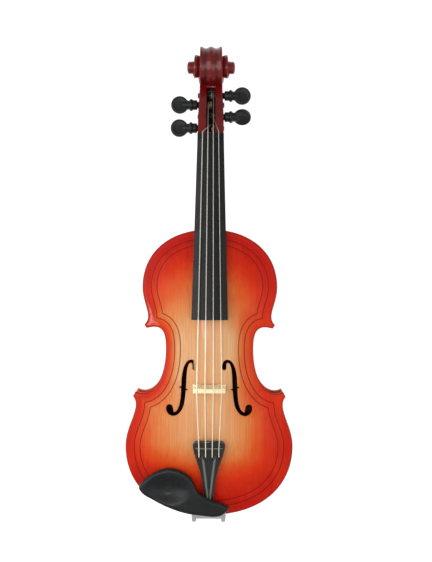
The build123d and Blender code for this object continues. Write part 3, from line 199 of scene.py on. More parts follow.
def plate_solid(outline, holes, insets, pitch, top, low):
    """Plate between two heights.  The plan is filled with rings that run parallel to the edge
    at the given insets and with a three-way grid, and top and low give the two surfaces from
    x, y and the distance to the edge.  The surfaces meet along the edge and have walls in
    the holes.  Returns points, faces and the distance of every point from the edge."""
    ahead = np.roll(outline, -1, axis=0) - np.roll(outline, 1, axis=0)
    inward = np.stack([-ahead[:, 1], ahead[:, 0]], 1)
    inward /= np.linalg.norm(inward, axis=1)[:, None]
    if not inside(outline[:1] + 0.01 * inward[:1], outline)[0]:
        inward = -inward
    fill = []
    for inset in insets:
        ring = outline + inset * inward
        ring = ring[(edge_distance(ring, outline) > inset - 0.02) & inside(ring, outline)]
        fill.append(ring)
    lowest, highest = outline.min(0), outline.max(0)
    ys = np.arange(lowest[1], highest[1], pitch * 0.866)
    grid = []
    for row, y in enumerate(ys):
        xs = np.arange(lowest[0] + (row % 2) * pitch / 2, highest[0], pitch)
        grid.append(np.stack([xs, np.full(len(xs), y)], 1))
    grid = np.vstack(grid)
    grid = grid[inside(grid, outline)]
    grid = grid[edge_distance(grid, outline) > max(insets) + 0.5 * pitch]
    fill.append(grid)
    fill = np.vstack(fill)
    for hole in holes:
        fill = fill[~inside(fill, hole)]
        fill = fill[edge_distance(fill, hole) > 0.35]
        fill = np.vstack([fill])
    plan, edges = [outline], []
    count = 0
    for line in [outline] + list(holes):
        if count:
            plan.append(line)
        edges += [(count + i, count + (i + 1) % len(line)) for i in range(len(line))]
        count += len(line)
    plan = np.vstack(plan + [fill])
    found = delaunay_2d_cdt([Vector(p) for p in plan.tolist()], edges, [], 0, 1e-4)
    flat = np.array([tuple(v) for v in found[0]])
    faces = np.array([f for f in found[2] if len(f) == 3])
    centre = flat[faces].mean(1)
    keep = inside(centre, outline)
    for hole in holes:
        keep &= ~inside(centre, hole)
    faces = faces[keep]
    one, two, three = flat[faces[:, 0]], flat[faces[:, 1]], flat[faces[:, 2]]
    (ax, ay), (bx, by) = (two - one).T, (three - one).T
    area = ax * by - ay * bx
    faces[area < 0] = faces[area < 0][:, ::-1]
    distance = edge_distance(flat, outline)
    rim = distance < 1e-3
    upper = top(flat[:, 0], flat[:, 1], distance)
    lower = low(flat[:, 0], flat[:, 1], distance)
    upper = np.where(rim, (upper + lower) / 2, upper)
    points = np.vstack([np.column_stack([flat, upper]), np.column_stack([flat, lower])])
    under = np.where(rim, np.arange(len(flat)), np.arange(len(flat)) + len(flat))
    all_faces = faces.tolist() + under[faces[:, ::-1]].tolist()
    used = {}
    for f in faces.tolist():
        for i in range(3):
            used[(f[i], f[(i + 1) % 3])] = True
    for i, j in used:
        if (j, i) not in used and not (rim[i] and rim[j]):
            all_faces.append([j, i, int(under[i]), int(under[j])])
    return points, all_faces, np.concatenate([distance, distance])


def half_width(y):
    """Smooth half width that the arching follows: rounded ends and two cosine blends."""
    low, mid, high = 0.2416 * LENGTH, 0.5815 * LENGTH, 0.7978 * LENGTH
    tail = HALF_LOWER * np.maximum(0, 1 - ((low - np.clip(y, 0, low)) / low) ** 2.15) ** (1 / 2.15)
    fall = HALF_WAIST + (HALF_LOWER - HALF_WAIST) * (0.5 + 0.5 * np.cos(np.pi * (y - low) / (mid - low)))
    rise = HALF_WAIST + (HALF_UPPER - HALF_WAIST) * (0.5 - 0.5 * np.cos(np.pi * (y - mid) / (high - mid)))
    head = HALF_UPPER * (1 - np.clip((y - high) / (LENGTH - high), 0, 1) ** 2.15) ** (1 / 2.15)
    return np.where(y <= low, tail, np.where(y < mid, fall, np.where(y < high, rise, head)))


def arching(x, y):
    """1 along the middle of the plate, falling smoothly to 0 at its edge."""
    along = np.minimum(np.abs(y - LENGTH / 2) / (LENGTH / 2), 1)
    across = np.minimum(np.abs(x) / np.maximum(half_width(y), 0.001), 1)
    return (1 - across**2.4) ** 2 * (1 - along**4) ** 2


def rounding(distance, radius):
    """Drop of a quarter-round edge: the full radius at the edge, nothing past the radius."""
    t = 1 - np.clip(distance / radius, 0, 1)
    return radius * (1 - np.sqrt(1 - t * t))


def channel(distance):
    """Shallow hollow that runs inside the edge."""
    return 0.16 * np.exp(-(((distance - 6.2) / 2.6) ** 2))


def groove(distance, lines):
    """Fine groove along each purfling line."""
    drop = np.zeros_like(distance)
    for line in lines:
        drop += 0.05 * (1 - smooth_step(np.abs(distance - line), 0.7, 0.95))
    return drop


def body_half():
    """Right half of the body outline, from the tail end to the neck end."""
    long, low, waist, high = LENGTH, HALF_LOWER, HALF_WAIST, HALF_UPPER
    runs = [
        ((0, 0), (0.633 * low, 0), (low, 0.101 * long), (low, 0.2416 * long)),
        ((low, 0.2416 * long), (low, 0.3146 * long), (low - 20.7, 0.3764 * long), (low - 8.9, 0.4146 * long)),
        (
            (low - 12.2, 0.432 * long),
            (low - 27.2, 0.4059 * long),
            (waist, 0.4522 * long),
            (waist, 0.5815 * long),
        ),
        (
            (waist, 0.5815 * long),
            (waist, 0.646 * long),
            (waist + 5.6, 0.6685 * long),
            (high - 5.5, 0.6531 * long),
        ),
        ((high - 2.5, 0.6657 * long), (high - 14, 0.6966 * long), (high, 0.736 * long), (high, 0.7978 * long)),
        ((high, 0.7978 * long), (high, 0.9213 * long), (0.595 * high, long), (0, long)),
    ]
    line = []
    for run in runs:
        line.append(bezier(run, 60))
        line.append(np.array([run[-1]], dtype=float))
    line = np.vstack(line)
    step = np.hypot(*np.diff(line, axis=0).T)
    return line[np.concatenate([[True], step > 1e-6])]


def mirrored(half):
    """Closed outline from its right half, which starts and ends on the middle line."""
    return np.vstack([half, (half * [-1, 1])[::-1][1:-1]])


def f_hole(side):
    """Outline of one f-hole: two round eyes joined by a swelling stem with two nicks."""
    ex, ey, hx, hy = 49.1, 0.3781 * LENGTH, 18.4, 0.5174 * LENGTH
    er, hr = 4.3, 2.6
    turn = np.linspace(0, np.pi, 16, endpoint=False)[:, None]
    eye = np.array([ex, ey]) + er * np.hstack([-np.cos(turn), np.sin(turn)])
    head = np.array([hx, hy]) + hr * np.hstack([np.cos(turn), -np.sin(turn)])
    parts = [
        bezier(((hx - hr, hy), (hx - 3.1, hy + 6.3), (hx - 0.4, hy + 10.3), (hx + 3.7, hy + 10.3)), 14),
        bezier(((hx + 3.7, hy + 10.3), (hx + 11.1, hy + 10.3), (hx + 15.2, hy - 1.2), (hx + 16, hy - 14.7)), 22),
        bezier(((hx + 16, hy - 14.7), (hx + 16.5, hy - 24), (ex - 14.3, ey + 13.4), (ex - 12.7, ey + 6.2)), 22),
        bezier(((ex - 12.7, ey + 6.2), (ex - 11.7, ey + 0.4), (ex - 9, ey - 5.4), (ex - 5.4, ey - 5.2)), 14),
        np.array([(ex - 5.4, ey - 5.2)]),
        eye,
        bezier(((ex + er, ey), (ex + 4.6, ey - 6), (ex + 0.6, ey - 10), (ex - 4.4, ey - 10)), 14),
        bezier(((ex - 4.4, ey - 10), (ex - 11.6, ey - 10), (ex - 17.1, ey - 1.6), (ex - 18.2, ey + 6.2)), 20),
        bezier(((ex - 18.2, ey + 6.2), (ex - 19.9, ey + 14.4), (hx + 10.2, hy - 24), (hx + 9.9, hy - 14.7)), 22),
        bezier(((hx + 9.9, hy - 14.7), (hx + 9.6, hy - 2), (hx + 8.1, hy + 6.3), (hx + 4.1, hy + 6.3)), 20),
        bezier(((hx + 4.1, hy + 6.3), (hx + 2.4, hy + 6.3), (hx + hr, hy + 3.4), (hx + hr, hy)), 10),
        head,
    ]
    outline = np.vstack(parts)
    # small nicks half way along both sides of the stem
    for x, y, point in ((29.0, 0.4427 * LENGTH, 25.6), (34.6, 0.4506 * LENGTH, 38.2)):
        near = np.abs(outline[:, 1] - y) < 2.2
        near &= (outline[:, 0] < 32) if point < x else (outline[:, 0] > 31)
        index = np.where(near)[0]
        nearest = index[np.argmin(np.abs(outline[index, 1] - y))]
        outline[nearest] = (point, y)
    if side < 0:
        outline = (outline * [-1, 1])[::-1]
    return outline


# ------------------------------------------------------------------- finishes
def shade(red, green, blue):
    """Linear colour from everyday 0 to 255 values."""
    c = np.array([red, green, blue]) / 255
    c = np.where(c <= 0.04045, c / 12.92, ((c + 0.055) / 1.055) ** 2.4)
    return (*c.tolist(), 1.0)


def add(tree, kind, inputs=None, **settings):
    """New node; inputs are constants or the sockets that feed them."""
    node = tree.nodes.new(kind)
    for key, value in settings.items():
        setattr(node, key, value)
    for key, value in (inputs or {}).items():
        if isinstance(value, bpy.types.NodeSocket):
            tree.links.new(value, node.inputs[key])
        else:
            node.inputs[key].default_value = value
    return node


def ramp(tree, factor, stops):
    """Colour ramp with the given (place, colour) stops."""
    node = add(tree, "ShaderNodeValToRGB", {"Fac": factor})
    marks = node.color_ramp.elements
    while len(marks) < len(stops):
        marks.new(0.5)
    for mark, (place, colour) in zip(marks, stops):
        mark.position = place
        mark.color = colour
    return node.outputs["Color"]


def level(tree, value, low, high, to_low=0.0, to_high=1.0):
    """Value carried smoothly from one range to another and held at both ends."""
    node = add(
        tree,
        "ShaderNodeMapRange",
        {"Value": value, "From Min": low, "From Max": high, "To Min": to_low, "To Max": to_high},
        interpolation_type="SMOOTHSTEP",
    )
    return node.outputs["Result"]


def maths(tree, operation, *values):
    """One Math node; each value is a number or another node's output."""
    node = tree.nodes.new("ShaderNodeMath")
    node.operation = operation
    for socket, value in zip(node.inputs, values):
        if isinstance(value, bpy.types.NodeSocket):
            tree.links.new(value, socket)
        else:
            socket.default_value = value
    return node.outputs[0]


def blend_colour(tree, factor, one, two, kind="MIX"):
    """Mix of two colours, by a factor that may change over the surface."""
    node = tree.nodes.new("ShaderNodeMix")
    node.data_type = "RGBA"
    node.blend_type = kind
    for socket, value in ((node.inputs[0], factor), (node.inputs[6], one), (node.inputs[7], two)):
        if isinstance(value, bpy.types.NodeSocket):
            tree.links.new(value, socket)
        else:
            socket.default_value = value
    return node.outputs[2]


def new_group(name, takes, gives):
    """Node group with named float or vector inputs and outputs."""
    group = bpy.data.node_groups.new(name, "ShaderNodeTree")
    for label, kind, value in takes:
        socket = group.interface.new_socket(label, in_out="INPUT", socket_type=kind)
        if value is not None:
            socket.default_value = value
    for label, kind in gives:
        group.interface.new_socket(label, in_out="OUTPUT", socket_type=kind)
    enter = group.nodes.new("NodeGroupInput")
    leave = group.nodes.new("NodeGroupOutput")
    return group, enter.outputs, leave.inputs


FLOAT, VECTOR = "NodeSocketFloat", "NodeSocketVector"


def make_grain():
    """Fine lines that run along one axis: noise squeezed along the grain, with wider bands over it."""
    takes = [("Vector", VECTOR, None), ("Across", FLOAT, 900.0), ("Along", FLOAT, 12.0), ("Bands", FLOAT, 120.0)]
    group, given, out = new_group("long_grain", takes, [("Lines", FLOAT), ("Streaks", FLOAT)])
    wide = add(group, "ShaderNodeCombineXYZ", {"X": given["Across"], "Y": given["Along"], "Z": given["Across"]})
    scaled = add(
        group, "ShaderNodeVectorMath", {0: given["Vector"], 1: wide.outputs[0]}, operation="MULTIPLY"
    )
    fine = add(group, "ShaderNodeTexNoise", {"Vector": scaled.outputs[0], "Scale": 1.0, "Detail": 2.0})
    broad = add(group, "ShaderNodeCombineXYZ", {"X": given["Bands"], "Y": 3.0, "Z": given["Bands"]})
    spread = add(
        group, "ShaderNodeVectorMath", {0: given["Vector"], 1: broad.outputs[0]}, operation="MULTIPLY"
    )
    slow = add(group, "ShaderNodeTexNoise", {"Vector": spread.outputs[0], "Scale": 1.0, "Detail": 3.0})
    group.links.new(fine.outputs["Fac"], out["Lines"])
    group.links.new(slow.outputs["Fac"], out["Streaks"])
    return group


def make_flame():
    """Soft stripes across the grain whose edges wander, as in figured maple."""
    takes = [("Vector", VECTOR, None), ("Stripes", FLOAT, 95.0), ("Wander", FLOAT, 9.0)]
    group, given, out = new_group("flame", takes, [("Stripes", FLOAT)])
    slow = add(group, "ShaderNodeTexNoise", {"Vector": given["Vector"], "Scale": given["Wander"], "Detail": 2.0})
    shift = maths(group, "MULTIPLY", slow.outputs["Fac"], 0.06)
    parts = add(group, "ShaderNodeSeparateXYZ", {"Vector": given["Vector"]})
    along = maths(group, "ADD", parts.outputs["Y"], shift)
    slant = maths(group, "MULTIPLY_ADD", parts.outputs["X"], 0.16, along)
    place = add(
        group,
        "ShaderNodeCombineXYZ",
        {
            "X": maths(group, "MULTIPLY", parts.outputs["X"], 5.0),
            "Y": maths(group, "MULTIPLY", slant, given["Stripes"]),
            "Z": maths(group, "MULTIPLY", parts.outputs["Z"], 5.0),
        },
    )
    stripes = add(group, "ShaderNodeTexNoise", {"Vector": place.outputs[0], "Scale": 1.0, "Detail": 1.5})
    group.links.new(level(group, stripes.outputs["Fac"], 0.34, 0.66), out["Stripes"])
    return group


def make_patina():
    """Cloudy patches for polish that varies, and specks for dust and handling."""
    takes = [("Vector", VECTOR, None), ("Patches", FLOAT, 25.0), ("Specks", FLOAT, 900.0)]
    group, given, out = new_group("patina", takes, [("Cloud", FLOAT), ("Dust", FLOAT)])
    cloud = add(
        group, "ShaderNodeTexNoise", {"Vector": given["Vector"], "Scale": given["Patches"], "Detail": 4.0}
    )
    specks = add(
        group, "ShaderNodeTexNoise", {"Vector": given["Vector"], "Scale": given["Specks"], "Detail": 2.0}
    )
    group.links.new(level(group, cloud.outputs["Fac"], 0.3, 0.7), out["Cloud"])
    group.links.new(level(group, specks.outputs["Fac"], 0.62, 0.72), out["Dust"])
    return group


GRAIN = make_grain()
FLAME = make_flame()
PATINA = make_patina()


class Finish:
    """A material: its tree, its shader and the Object coordinates that its patterns read."""

    def __init__(self, name, **constants):
        self.material = bpy.data.materials.new(name)
        self.material.use_nodes = True
        self.tree = self.material.node_tree
        self.tree.nodes.clear()
        self.shader = self.tree.nodes.new("ShaderNodeBsdfPrincipled")
        leave = self.tree.nodes.new("ShaderNodeOutputMaterial")
        self.tree.links.new(self.shader.outputs[0], leave.inputs[0])
        self.place = self.tree.nodes.new("ShaderNodeTexCoord").outputs["Object"]
        for key, value in constants.items():
            self.shader.inputs[key.replace("_", " ")].default_value = value

    def group(self, group, **values):
        node = self.tree.nodes.new("ShaderNodeGroup")
        node.node_tree = group
        self.tree.links.new(self.place, node.inputs["Vector"])
        for key, value in values.items():
            node.inputs[key].default_value = value
        return node.outputs

    def colour(self, socket):
        self.tree.links.new(socket, self.shader.inputs["Base Color"])

    def rough(self, socket):
        self.tree.links.new(socket, self.shader.inputs["Roughness"])

    def bump(self, socket, depth, strength=1.0):
        node = add(self.tree, "ShaderNodeBump", {"Height": socket, "Distance": depth, "Strength": strength})
        self.tree.links.new(node.outputs[0], self.shader.inputs["Normal"])


def spruce_varnish():
    """Red-brown oil varnish over fine straight spruce, golden where it is thin, with painted light that
    makes the left side paler, painted shade on the rounded rim and the purfling lines read from the distance to the
    edge."""
    finish = Finish("belly_varnish", Coat_Weight=0.08, Coat_Roughness=0.12, Specular_IOR_Level=0.08)
    tree = finish.tree
    # The attribute read here is the varnish's own sunburst plus painted light: the left side is made paler.
    glow = add(tree, "ShaderNodeAttribute", attribute_name="glow").outputs["Fac"]
    rim = add(tree, "ShaderNodeAttribute", attribute_name="rim").outputs["Fac"]
    grain = finish.group(GRAIN, Across=1150.0, Along=9.0, Bands=230.0)
    patina = finish.group(PATINA, Patches=16.0, Specks=700.0)
    cloud = maths(tree, "MULTIPLY_ADD", patina["Cloud"], 0.12, -0.06)
    streak = maths(tree, "MULTIPLY_ADD", grain["Streaks"], 0.14, -0.07)
    warm = maths(tree, "ADD", maths(tree, "ADD", glow, cloud), streak)
    tint = ramp(
        tree,
        warm,
        [
            (0.0, shade(172, 16, 2)),
            (0.2, shade(194, 42, 6)),
            (0.44, shade(200, 80, 28)),
            (0.7, shade(203, 124, 67)),
            (1.0, shade(207, 158, 112)),
        ],
    )
    lines = level(tree, grain["Lines"], 0.35, 0.65)
    tint = blend_colour(tree, maths(tree, "MULTIPLY", lines, 0.16), tint, shade(120, 50, 24), "MULTIPLY")
    mark = None
    for line in PURFLING_LINES:
        here = maths(tree, "COMPARE", rim, line, 0.62)
        mark = here if mark is None else maths(tree, "MAXIMUM", mark, here)
    tint = blend_colour(tree, maths(tree, "MULTIPLY", mark, 0.85), tint, shade(112, 10, 2))
    # Painted shade: the colour darkens within 1.7 mm of the edge, on the rounded rim.
    edge = level(tree, rim, 0.2, 1.7, 1.0, 0.0)
    tint = blend_colour(tree, maths(tree, "MULTIPLY", edge, 0.75), tint, shade(84, 14, 6))
    finish.colour(tint)
    finish.rough(level(tree, patina["Cloud"], 0.0, 1.0, 0.36, 0.5))
    finish.bump(grain["Lines"], 0.00006, 0.5)
    return finish.material


def maple_varnish(name, deep, bright, stripes, strength, coat=0.3):
    """Varnished maple: soft flames across fine grain under a clear gloss."""
    finish = Finish(name, Coat_Weight=coat, Coat_Roughness=0.07, Specular_IOR_Level=0.2)
    tree = finish.tree
    grain = finish.group(GRAIN, Across=700.0, Along=22.0, Bands=90.0)
    flame = finish.group(FLAME, Stripes=stripes, Wander=9.0)
    patina = finish.group(PATINA, Patches=18.0, Specks=800.0)
    warm = maths(tree, "MULTIPLY_ADD", flame["Stripes"], strength, 0.2)
    warm = maths(tree, "MULTIPLY_ADD", patina["Cloud"], 0.25, warm)
    warm = maths(tree, "MULTIPLY_ADD", grain["Lines"], 0.2, warm)
    colour = ramp(tree, warm, [(0.15, deep), (0.9, bright)])
    # Painted shade: the hollow attribute darkens the colour in the pegbox slot, on the scroll's recesses and inside
    # the back.
    hollow = add(tree, "ShaderNodeAttribute", attribute_name="hollow").outputs["Fac"]
    finish.colour(blend_colour(tree, hollow, colour, shade(24, 6, 6)))
    finish.rough(level(tree, patina["Cloud"], 0.0, 1.0, 0.28, 0.4))
    finish.bump(grain["Lines"], 0.00005, 0.4)
    return finish.material


def plain_wood(name, deep, bright, rough, across=900.0):
    """Bare wood: fine grain and slow streaks, no gloss."""
    finish = Finish(name)
    tree = finish.tree
    grain = finish.group(GRAIN, Across=across, Along=14.0, Bands=160.0)
    patina = finish.group(PATINA, Patches=30.0, Specks=900.0)
    mixed = maths(tree, "MULTIPLY_ADD", grain["Lines"], 0.6, maths(tree, "MULTIPLY", grain["Streaks"], 0.4))
    colour = ramp(tree, mixed, [(0.3, deep), (0.7, bright)])
    colour = blend_colour(tree, maths(tree, "MULTIPLY", patina["Cloud"], 0.25), colour, deep)
    finish.colour(colour)
    finish.rough(level(tree, patina["Cloud"], 0.0, 1.0, rough - 0.08, rough + 0.08))
    finish.bump(grain["Lines"], 0.00006, 0.5)
    return finish.material


def dark_wood(name, deep, bright, rough, coat):
    """Ebony or blackened wood: near black with faint brown pores, with a painted highlight where the crest
    attribute is above nought and painted shade around the string holes where it is below."""
    finish = Finish(name, Coat_Weight=coat, Coat_Roughness=0.2, Specular_IOR_Level=0.22)
    tree = finish.tree
    grain = finish.group(GRAIN, Across=1100.0, Along=26.0, Bands=200.0)
    patina = finish.group(PATINA, Patches=38.0, Specks=1500.0)
    colour = ramp(tree, grain["Lines"], [(0.35, deep), (0.75, bright)])
    colour = blend_colour(tree, maths(tree, "MULTIPLY", patina["Dust"], 0.12), colour, shade(150, 146, 140))
    # Painted highlight on the crests and painted shade around the string holes, both set by the crest attribute.
    crest = add(tree, "ShaderNodeAttribute", attribute_name="crest").outputs["Fac"]
    colour = blend_colour(tree, level(tree, crest, 0.0, 1.0, 0.0, 0.75), colour, shade(112, 120, 114))
    colour = blend_colour(tree, level(tree, crest, -1.0, 0.0, 0.9, 0.0), colour, shade(2, 2, 2))
    finish.colour(colour)
    finish.rough(level(tree, patina["Cloud"], 0.0, 1.0, rough - 0.05, rough + 0.07))
    finish.bump(grain["Lines"], 0.00004, 0.45)
    return finish.material


def bright_metal(name, colour, dull, rough):
    """Plated metal: fine scratches along the piece and a soft bloom."""
    finish = Finish(name, Metallic=1.0)
    tree = finish.tree
    grain = finish.group(GRAIN, Across=2600.0, Along=120.0, Bands=500.0)
    patina = finish.group(PATINA, Patches=60.0, Specks=1800.0)
    finish.colour(blend_colour(tree, maths(tree, "MULTIPLY", patina["Cloud"], 0.45), colour, dull))
    finish.rough(level(tree, grain["Lines"], 0.3, 0.7, rough - 0.06, rough + 0.1))
    finish.bump(grain["Lines"], 0.00002, 0.3)
    return finish.material


def wound_string():
    """Flat-wound string: close turns of pale metal round the core, seen as fine ribs."""
    finish = Finish("string_winding", Metallic=0.25)
    tree = finish.tree
    turns = add(
        tree,
        "ShaderNodeTexWave",
        {"Vector": finish.place, "Scale": 900.0, "Distortion": 0.0},
        wave_type="BANDS",
        bands_direction="Y",
    )
    patina = finish.group(PATINA, Patches=70.0, Specks=1200.0)
    colour = blend_colour(
        tree, maths(tree, "MULTIPLY", patina["Cloud"], 0.5), shade(238, 229, 206), shade(205, 190, 160)
    )
    along = add(tree, "ShaderNodeSeparateXYZ", {"Vector": finish.place}).outputs["Y"]
    colour = blend_colour(tree, level(tree, along, -0.05, -0.04), colour, shade(170, 168, 160))
    # Painted shade: the strings are darker past the nut, where they run into the pegbox slot.
    finish.colour(blend_colour(tree, level(tree, along, 0.186, 0.2), colour, shade(104, 92, 76)))
    finish.rough(level(tree, patina["Cloud"], 0.0, 1.0, 0.3, 0.45))
    finish.bump(turns.outputs["Fac"], 0.00005, 0.6)
    return finish.material


def granular_cork():
    """Cork: rounded granules with darker joints between them."""
    finish = Finish("cork")
    tree = finish.tree
    cells = add(tree, "ShaderNodeTexVoronoi", {"Vector": finish.place, "Scale": 620.0}, feature="F1")
    joints = add(
        tree, "ShaderNodeTexVoronoi", {"Vector": finish.place, "Scale": 620.0}, feature="DISTANCE_TO_EDGE"
    )
    body = ramp(
        tree,
        add(tree, "ShaderNodeSeparateXYZ", {"Vector": cells.outputs["Color"]}).outputs["X"],
        [(0.0, shade(150, 104, 62)), (1.0, shade(206, 164, 112))],
    )
    seam = level(tree, joints.outputs["Distance"], 0.0, 0.12, 1.0, 0.0)
    finish.colour(blend_colour(tree, maths(tree, "MULTIPLY", seam, 0.7), body, shade(92, 58, 34)))
    finish.rough(level(tree, seam, 0.0, 1.0, 0.78, 0.95))
    finish.bump(seam, 0.0001, -0.6)
    return finish.material


def cord_nylon():
    """Black cord with a fine twist in it."""
    finish = Finish("nylon", Sheen_Weight=0.15)
    tree = finish.tree
    twist = add(
        tree,
        "ShaderNodeTexWave",
        {"Vector": finish.place, "Scale": 500.0, "Distortion": 1.0},
        wave_type="BANDS",
        bands_direction="DIAGONAL",
    )
    finish.colour(ramp(tree, twist.outputs["Fac"], [(0.0, shade(14, 13, 13)), (1.0, shade(44, 42, 40))]))
    finish.rough(level(tree, twist.outputs["Fac"], 0.0, 1.0, 0.35, 0.6))
    finish.bump(twist.outputs["Fac"], 0.00008, 0.6)
    return finish.material


BELLY = spruce_varnish()
MAPLE = maple_varnish("maple_varnish", shade(92, 16, 6), shade(196, 74, 26), 95.0, 0.5)
HEAD = maple_varnish("maple_varnish_head", shade(56, 0, 2), shade(128, 3, 3), 150.0, 0.1, 0.4)
SPRUCE = plain_wood("bare_spruce", shade(176, 132, 84), shade(222, 186, 134), 0.6)
INLAY = plain_wood("purfling", shade(62, 12, 6), shade(120, 26, 12), 0.42)
EBONY = dark_wood("ebony", shade(8, 8, 9), shade(18, 17, 17), 0.42, 0.0)
FITTINGS = dark_wood("black_fittings", shade(9, 12, 13), shade(18, 23, 24), 0.4, 0.05)
TAIL_FINISH = dark_wood("black_fittings_tailpiece", shade(14, 15, 15), shade(26, 28, 27), 0.2, 0.7)
FRET = plain_wood("fret", shade(70, 68, 64), shade(108, 104, 98), 0.35)
BRIDGE = plain_wood("bridge_maple", shade(214, 190, 140), shade(246, 232, 192), 0.5, 1300.0)
STRING = wound_string()
BRASS = bright_metal("ball_brass", shade(214, 176, 96), shade(160, 120, 60), 0.28)
NYLON = cord_nylon()
CORK = granular_cork()
CHROME = bright_metal("clamp_metal", shade(214, 216, 220), shade(168, 170, 174), 0.16)

SLOT_FINISH = {
    "belly_varnish": BELLY,
    "maple_varnish": MAPLE,
    "bare_spruce": SPRUCE,
    "purfling": INLAY,
    "ebony": EBONY,
    "black_fittings": FITTINGS,
    "fret": FRET,
    "bridge_maple": BRIDGE,
    "string_winding": STRING,
    "ball_brass": BRASS,
    "nylon": NYLON,
    "cork": CORK,
    "clamp_metal": CHROME,
}

for node_name, node_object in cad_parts.items():
    for holder in node_object.material_slots:
        base = holder.material.name.split(".")[0] if holder.material else ""
        for slot_name, finish_material in SLOT_FINISH.items():
            if base == slot_name:
                holder.material = finish_material

# ---------------------------------------------------------------- the plates
PLATE_RINGS = (0.12, 0.35, 0.7, 1.2, 2.0, 3.2, 4.6, 6.6, 8.6)
PLATE_RINGS += (10.2, 10.5, 11.9, 12.2, 14.8, 17.4, 17.7, 19.1, 19.4)


def build_belly():
    """Arched belly with a rounded edge, a hollow inside it, two purfling lines and f-holes."""
    outline = evened(mirrored(body_half()), 1.6)
    holes = [f_hole(1), f_hole(-1)]

    def top(x, y, d):
        high = BELLY_EDGE + BELLY_ARCH * arching(x, y)
        return high - rounding(d, 2.0) - channel(d) - groove(d, PURFLING_LINES)

    def low(x, y, d):
        hollow = np.maximum(RIB_TOP, RIB_TOP - 1 + 13.5 * arching(x, y))
        return hollow + rounding(d, 2.0)

    points, faces, rim = plate_solid(outline, holes, PLATE_RINGS, 2.4, top, low)
    y = points[:, 1]
    along = np.interp(
        y,
        [0, 20, 40, 58, 72, 90, 120, 150, 215, 245, 270, 290, 310, 330, 356],
        [0.0, 0.12, 0.22, 0.42, 0.68, 0.86, 1.0, 1.0, 1.0, 0.9, 0.62, 0.5, 0.36, 0.18, 0.05],
    )
    half = np.maximum(half_width(y), 20)
    # Painted light: the 0.15 term makes the left half paler, standing in for the lamp on the left; the rest is the
    # varnish's own sunburst.
    share = np.clip(rim / half, 0, 1) - 0.15 * np.clip(points[:, 0] / half, -1, 1) * smooth_step(rim, 3, 20)
    reach = np.interp(y, [60, 130, 175, 225, 260, 300], [0.95, 0.8, 0.5, 0.5, 0.7, 0.95])
    glow = along * (0.12 + 0.88 * smooth_step(share, -0.06, reach))
    belly = piece_mesh("belly", points, faces, "violin", BELLY, rim=rim, glow=glow)
    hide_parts("top_plate", "purfling_outer", "purfling_inner")


def build_back():
    """Arched back with the button under the heel, one purfling line and a rounded edge."""
    half = body_half()
    turn = np.linspace(0, np.pi / 2, 14)
    button = np.column_stack([10 * np.cos(turn), 358 + 10 * np.sin(turn)])
    half = np.vstack([half[half[:, 1] < LENGTH - 0.35], [(10, LENGTH)], button])
    outline = evened(mirrored(half), 1.6)

    def top(x, y, d):
        inner = np.minimum(RIB_LOW, RIB_LOW + 1 - 13 * arching(x, y))
        return inner - rounding(d, 2.0)

    def low(x, y, d):
        deep = BACK_EDGE - BACK_EDGE * arching(x, y)
        return deep + rounding(d, 2.0) + channel(d) + groove(d, PURFLING_LINES[:1])

    points, faces, rim = plate_solid(outline, [], PLATE_RINGS[:13], 2.6, top, low)
    indoors = np.arange(len(points)) < len(points) // 2
    # Painted shade: the inner face of the back, seen through the f-holes, is darkened.
    hollow = np.where(indoors & (rim > 4.4), 0.88, 0.0)
    back = piece_mesh("back", points, faces, "violin", MAPLE, rim=rim, hollow=hollow)
    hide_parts("back_plate", "purfling_back")


# ------------------------------------------------------------ neck and scroll
def board_z(y):
    """Height of the gluing face under the fingerboard: a plane tilted back towards the head."""
    return BELLY_EDGE + 6 - (y - LENGTH) * np.tan(radians(4.7))


def neck_shaft():
    """Rounded handle: half-oval sections hung from the gluing face, deepening into the heel."""
    stations = np.concatenate([[349, 356, 360, 363], np.linspace(364, 400, 46), np.linspace(402, 478, 40)])
    turn = np.linspace(0, np.pi, 41)
    rings = []
    for y in stations:
        top = board_z(y)
        half = 16.2 + 5.8 * np.clip((NUT_STATION - y) / 224, 0, 1)
        depth = np.interp(y, [356, 400, 478], [17.0, 15.4, 13.4])
        t = np.clip((y - 365) / 35, 0, 1)
        fall = (1 - t) ** 2.6
        bottom = (top - depth) * (1 - fall) + RIB_LOW * fall
        reach = (top - bottom) * (1 + 0.25 * fall)
        x = half * np.sign(np.cos(turn)) * np.abs(np.cos(turn)) ** 0.85
        z = np.maximum(top - reach * np.sin(turn) ** 0.92, bottom)
        upper = np.array([(-half + 0.5, top), (half - 0.5, top)])
        ring = np.vstack([np.column_stack([x, z]), upper])
        rings.append(np.column_stack([ring[:, 0], np.full(len(ring), y), ring[:, 1]]))
    return tube(rings)


PEGBOX_TOP = [
    ((470.0, 46.6), (472.0, 46.4), (474.0, 46.1), (476.0, 45.9)),
    ((476.0, 45.9), (498.0, 38.9), (523.8, 29.0), (540.8, 23.0)),
    ((540.8, 23.0), (546.0, 22.0), (552.0, 22.0), (560.0, 22.0)),
]
PEGBOX_LOW = [
    ((470.0, 34.2), (477.0, 33.2), (475.0, 17.8), (486.0, 16.4)),
    ((486.0, 16.4), (508.0, 13.8), (530.3, 2.8), (562.3, 2.8)),
]
SLOT_FLOOR = [
    ((477.5, 30.0), (478.5, 26.0), (480.0, 23.0), (483.5, 21.9)),
    ((483.5, 21.9), (499.5, 19.9), (519.8, 15.5), (537.8, 12.5)),
]


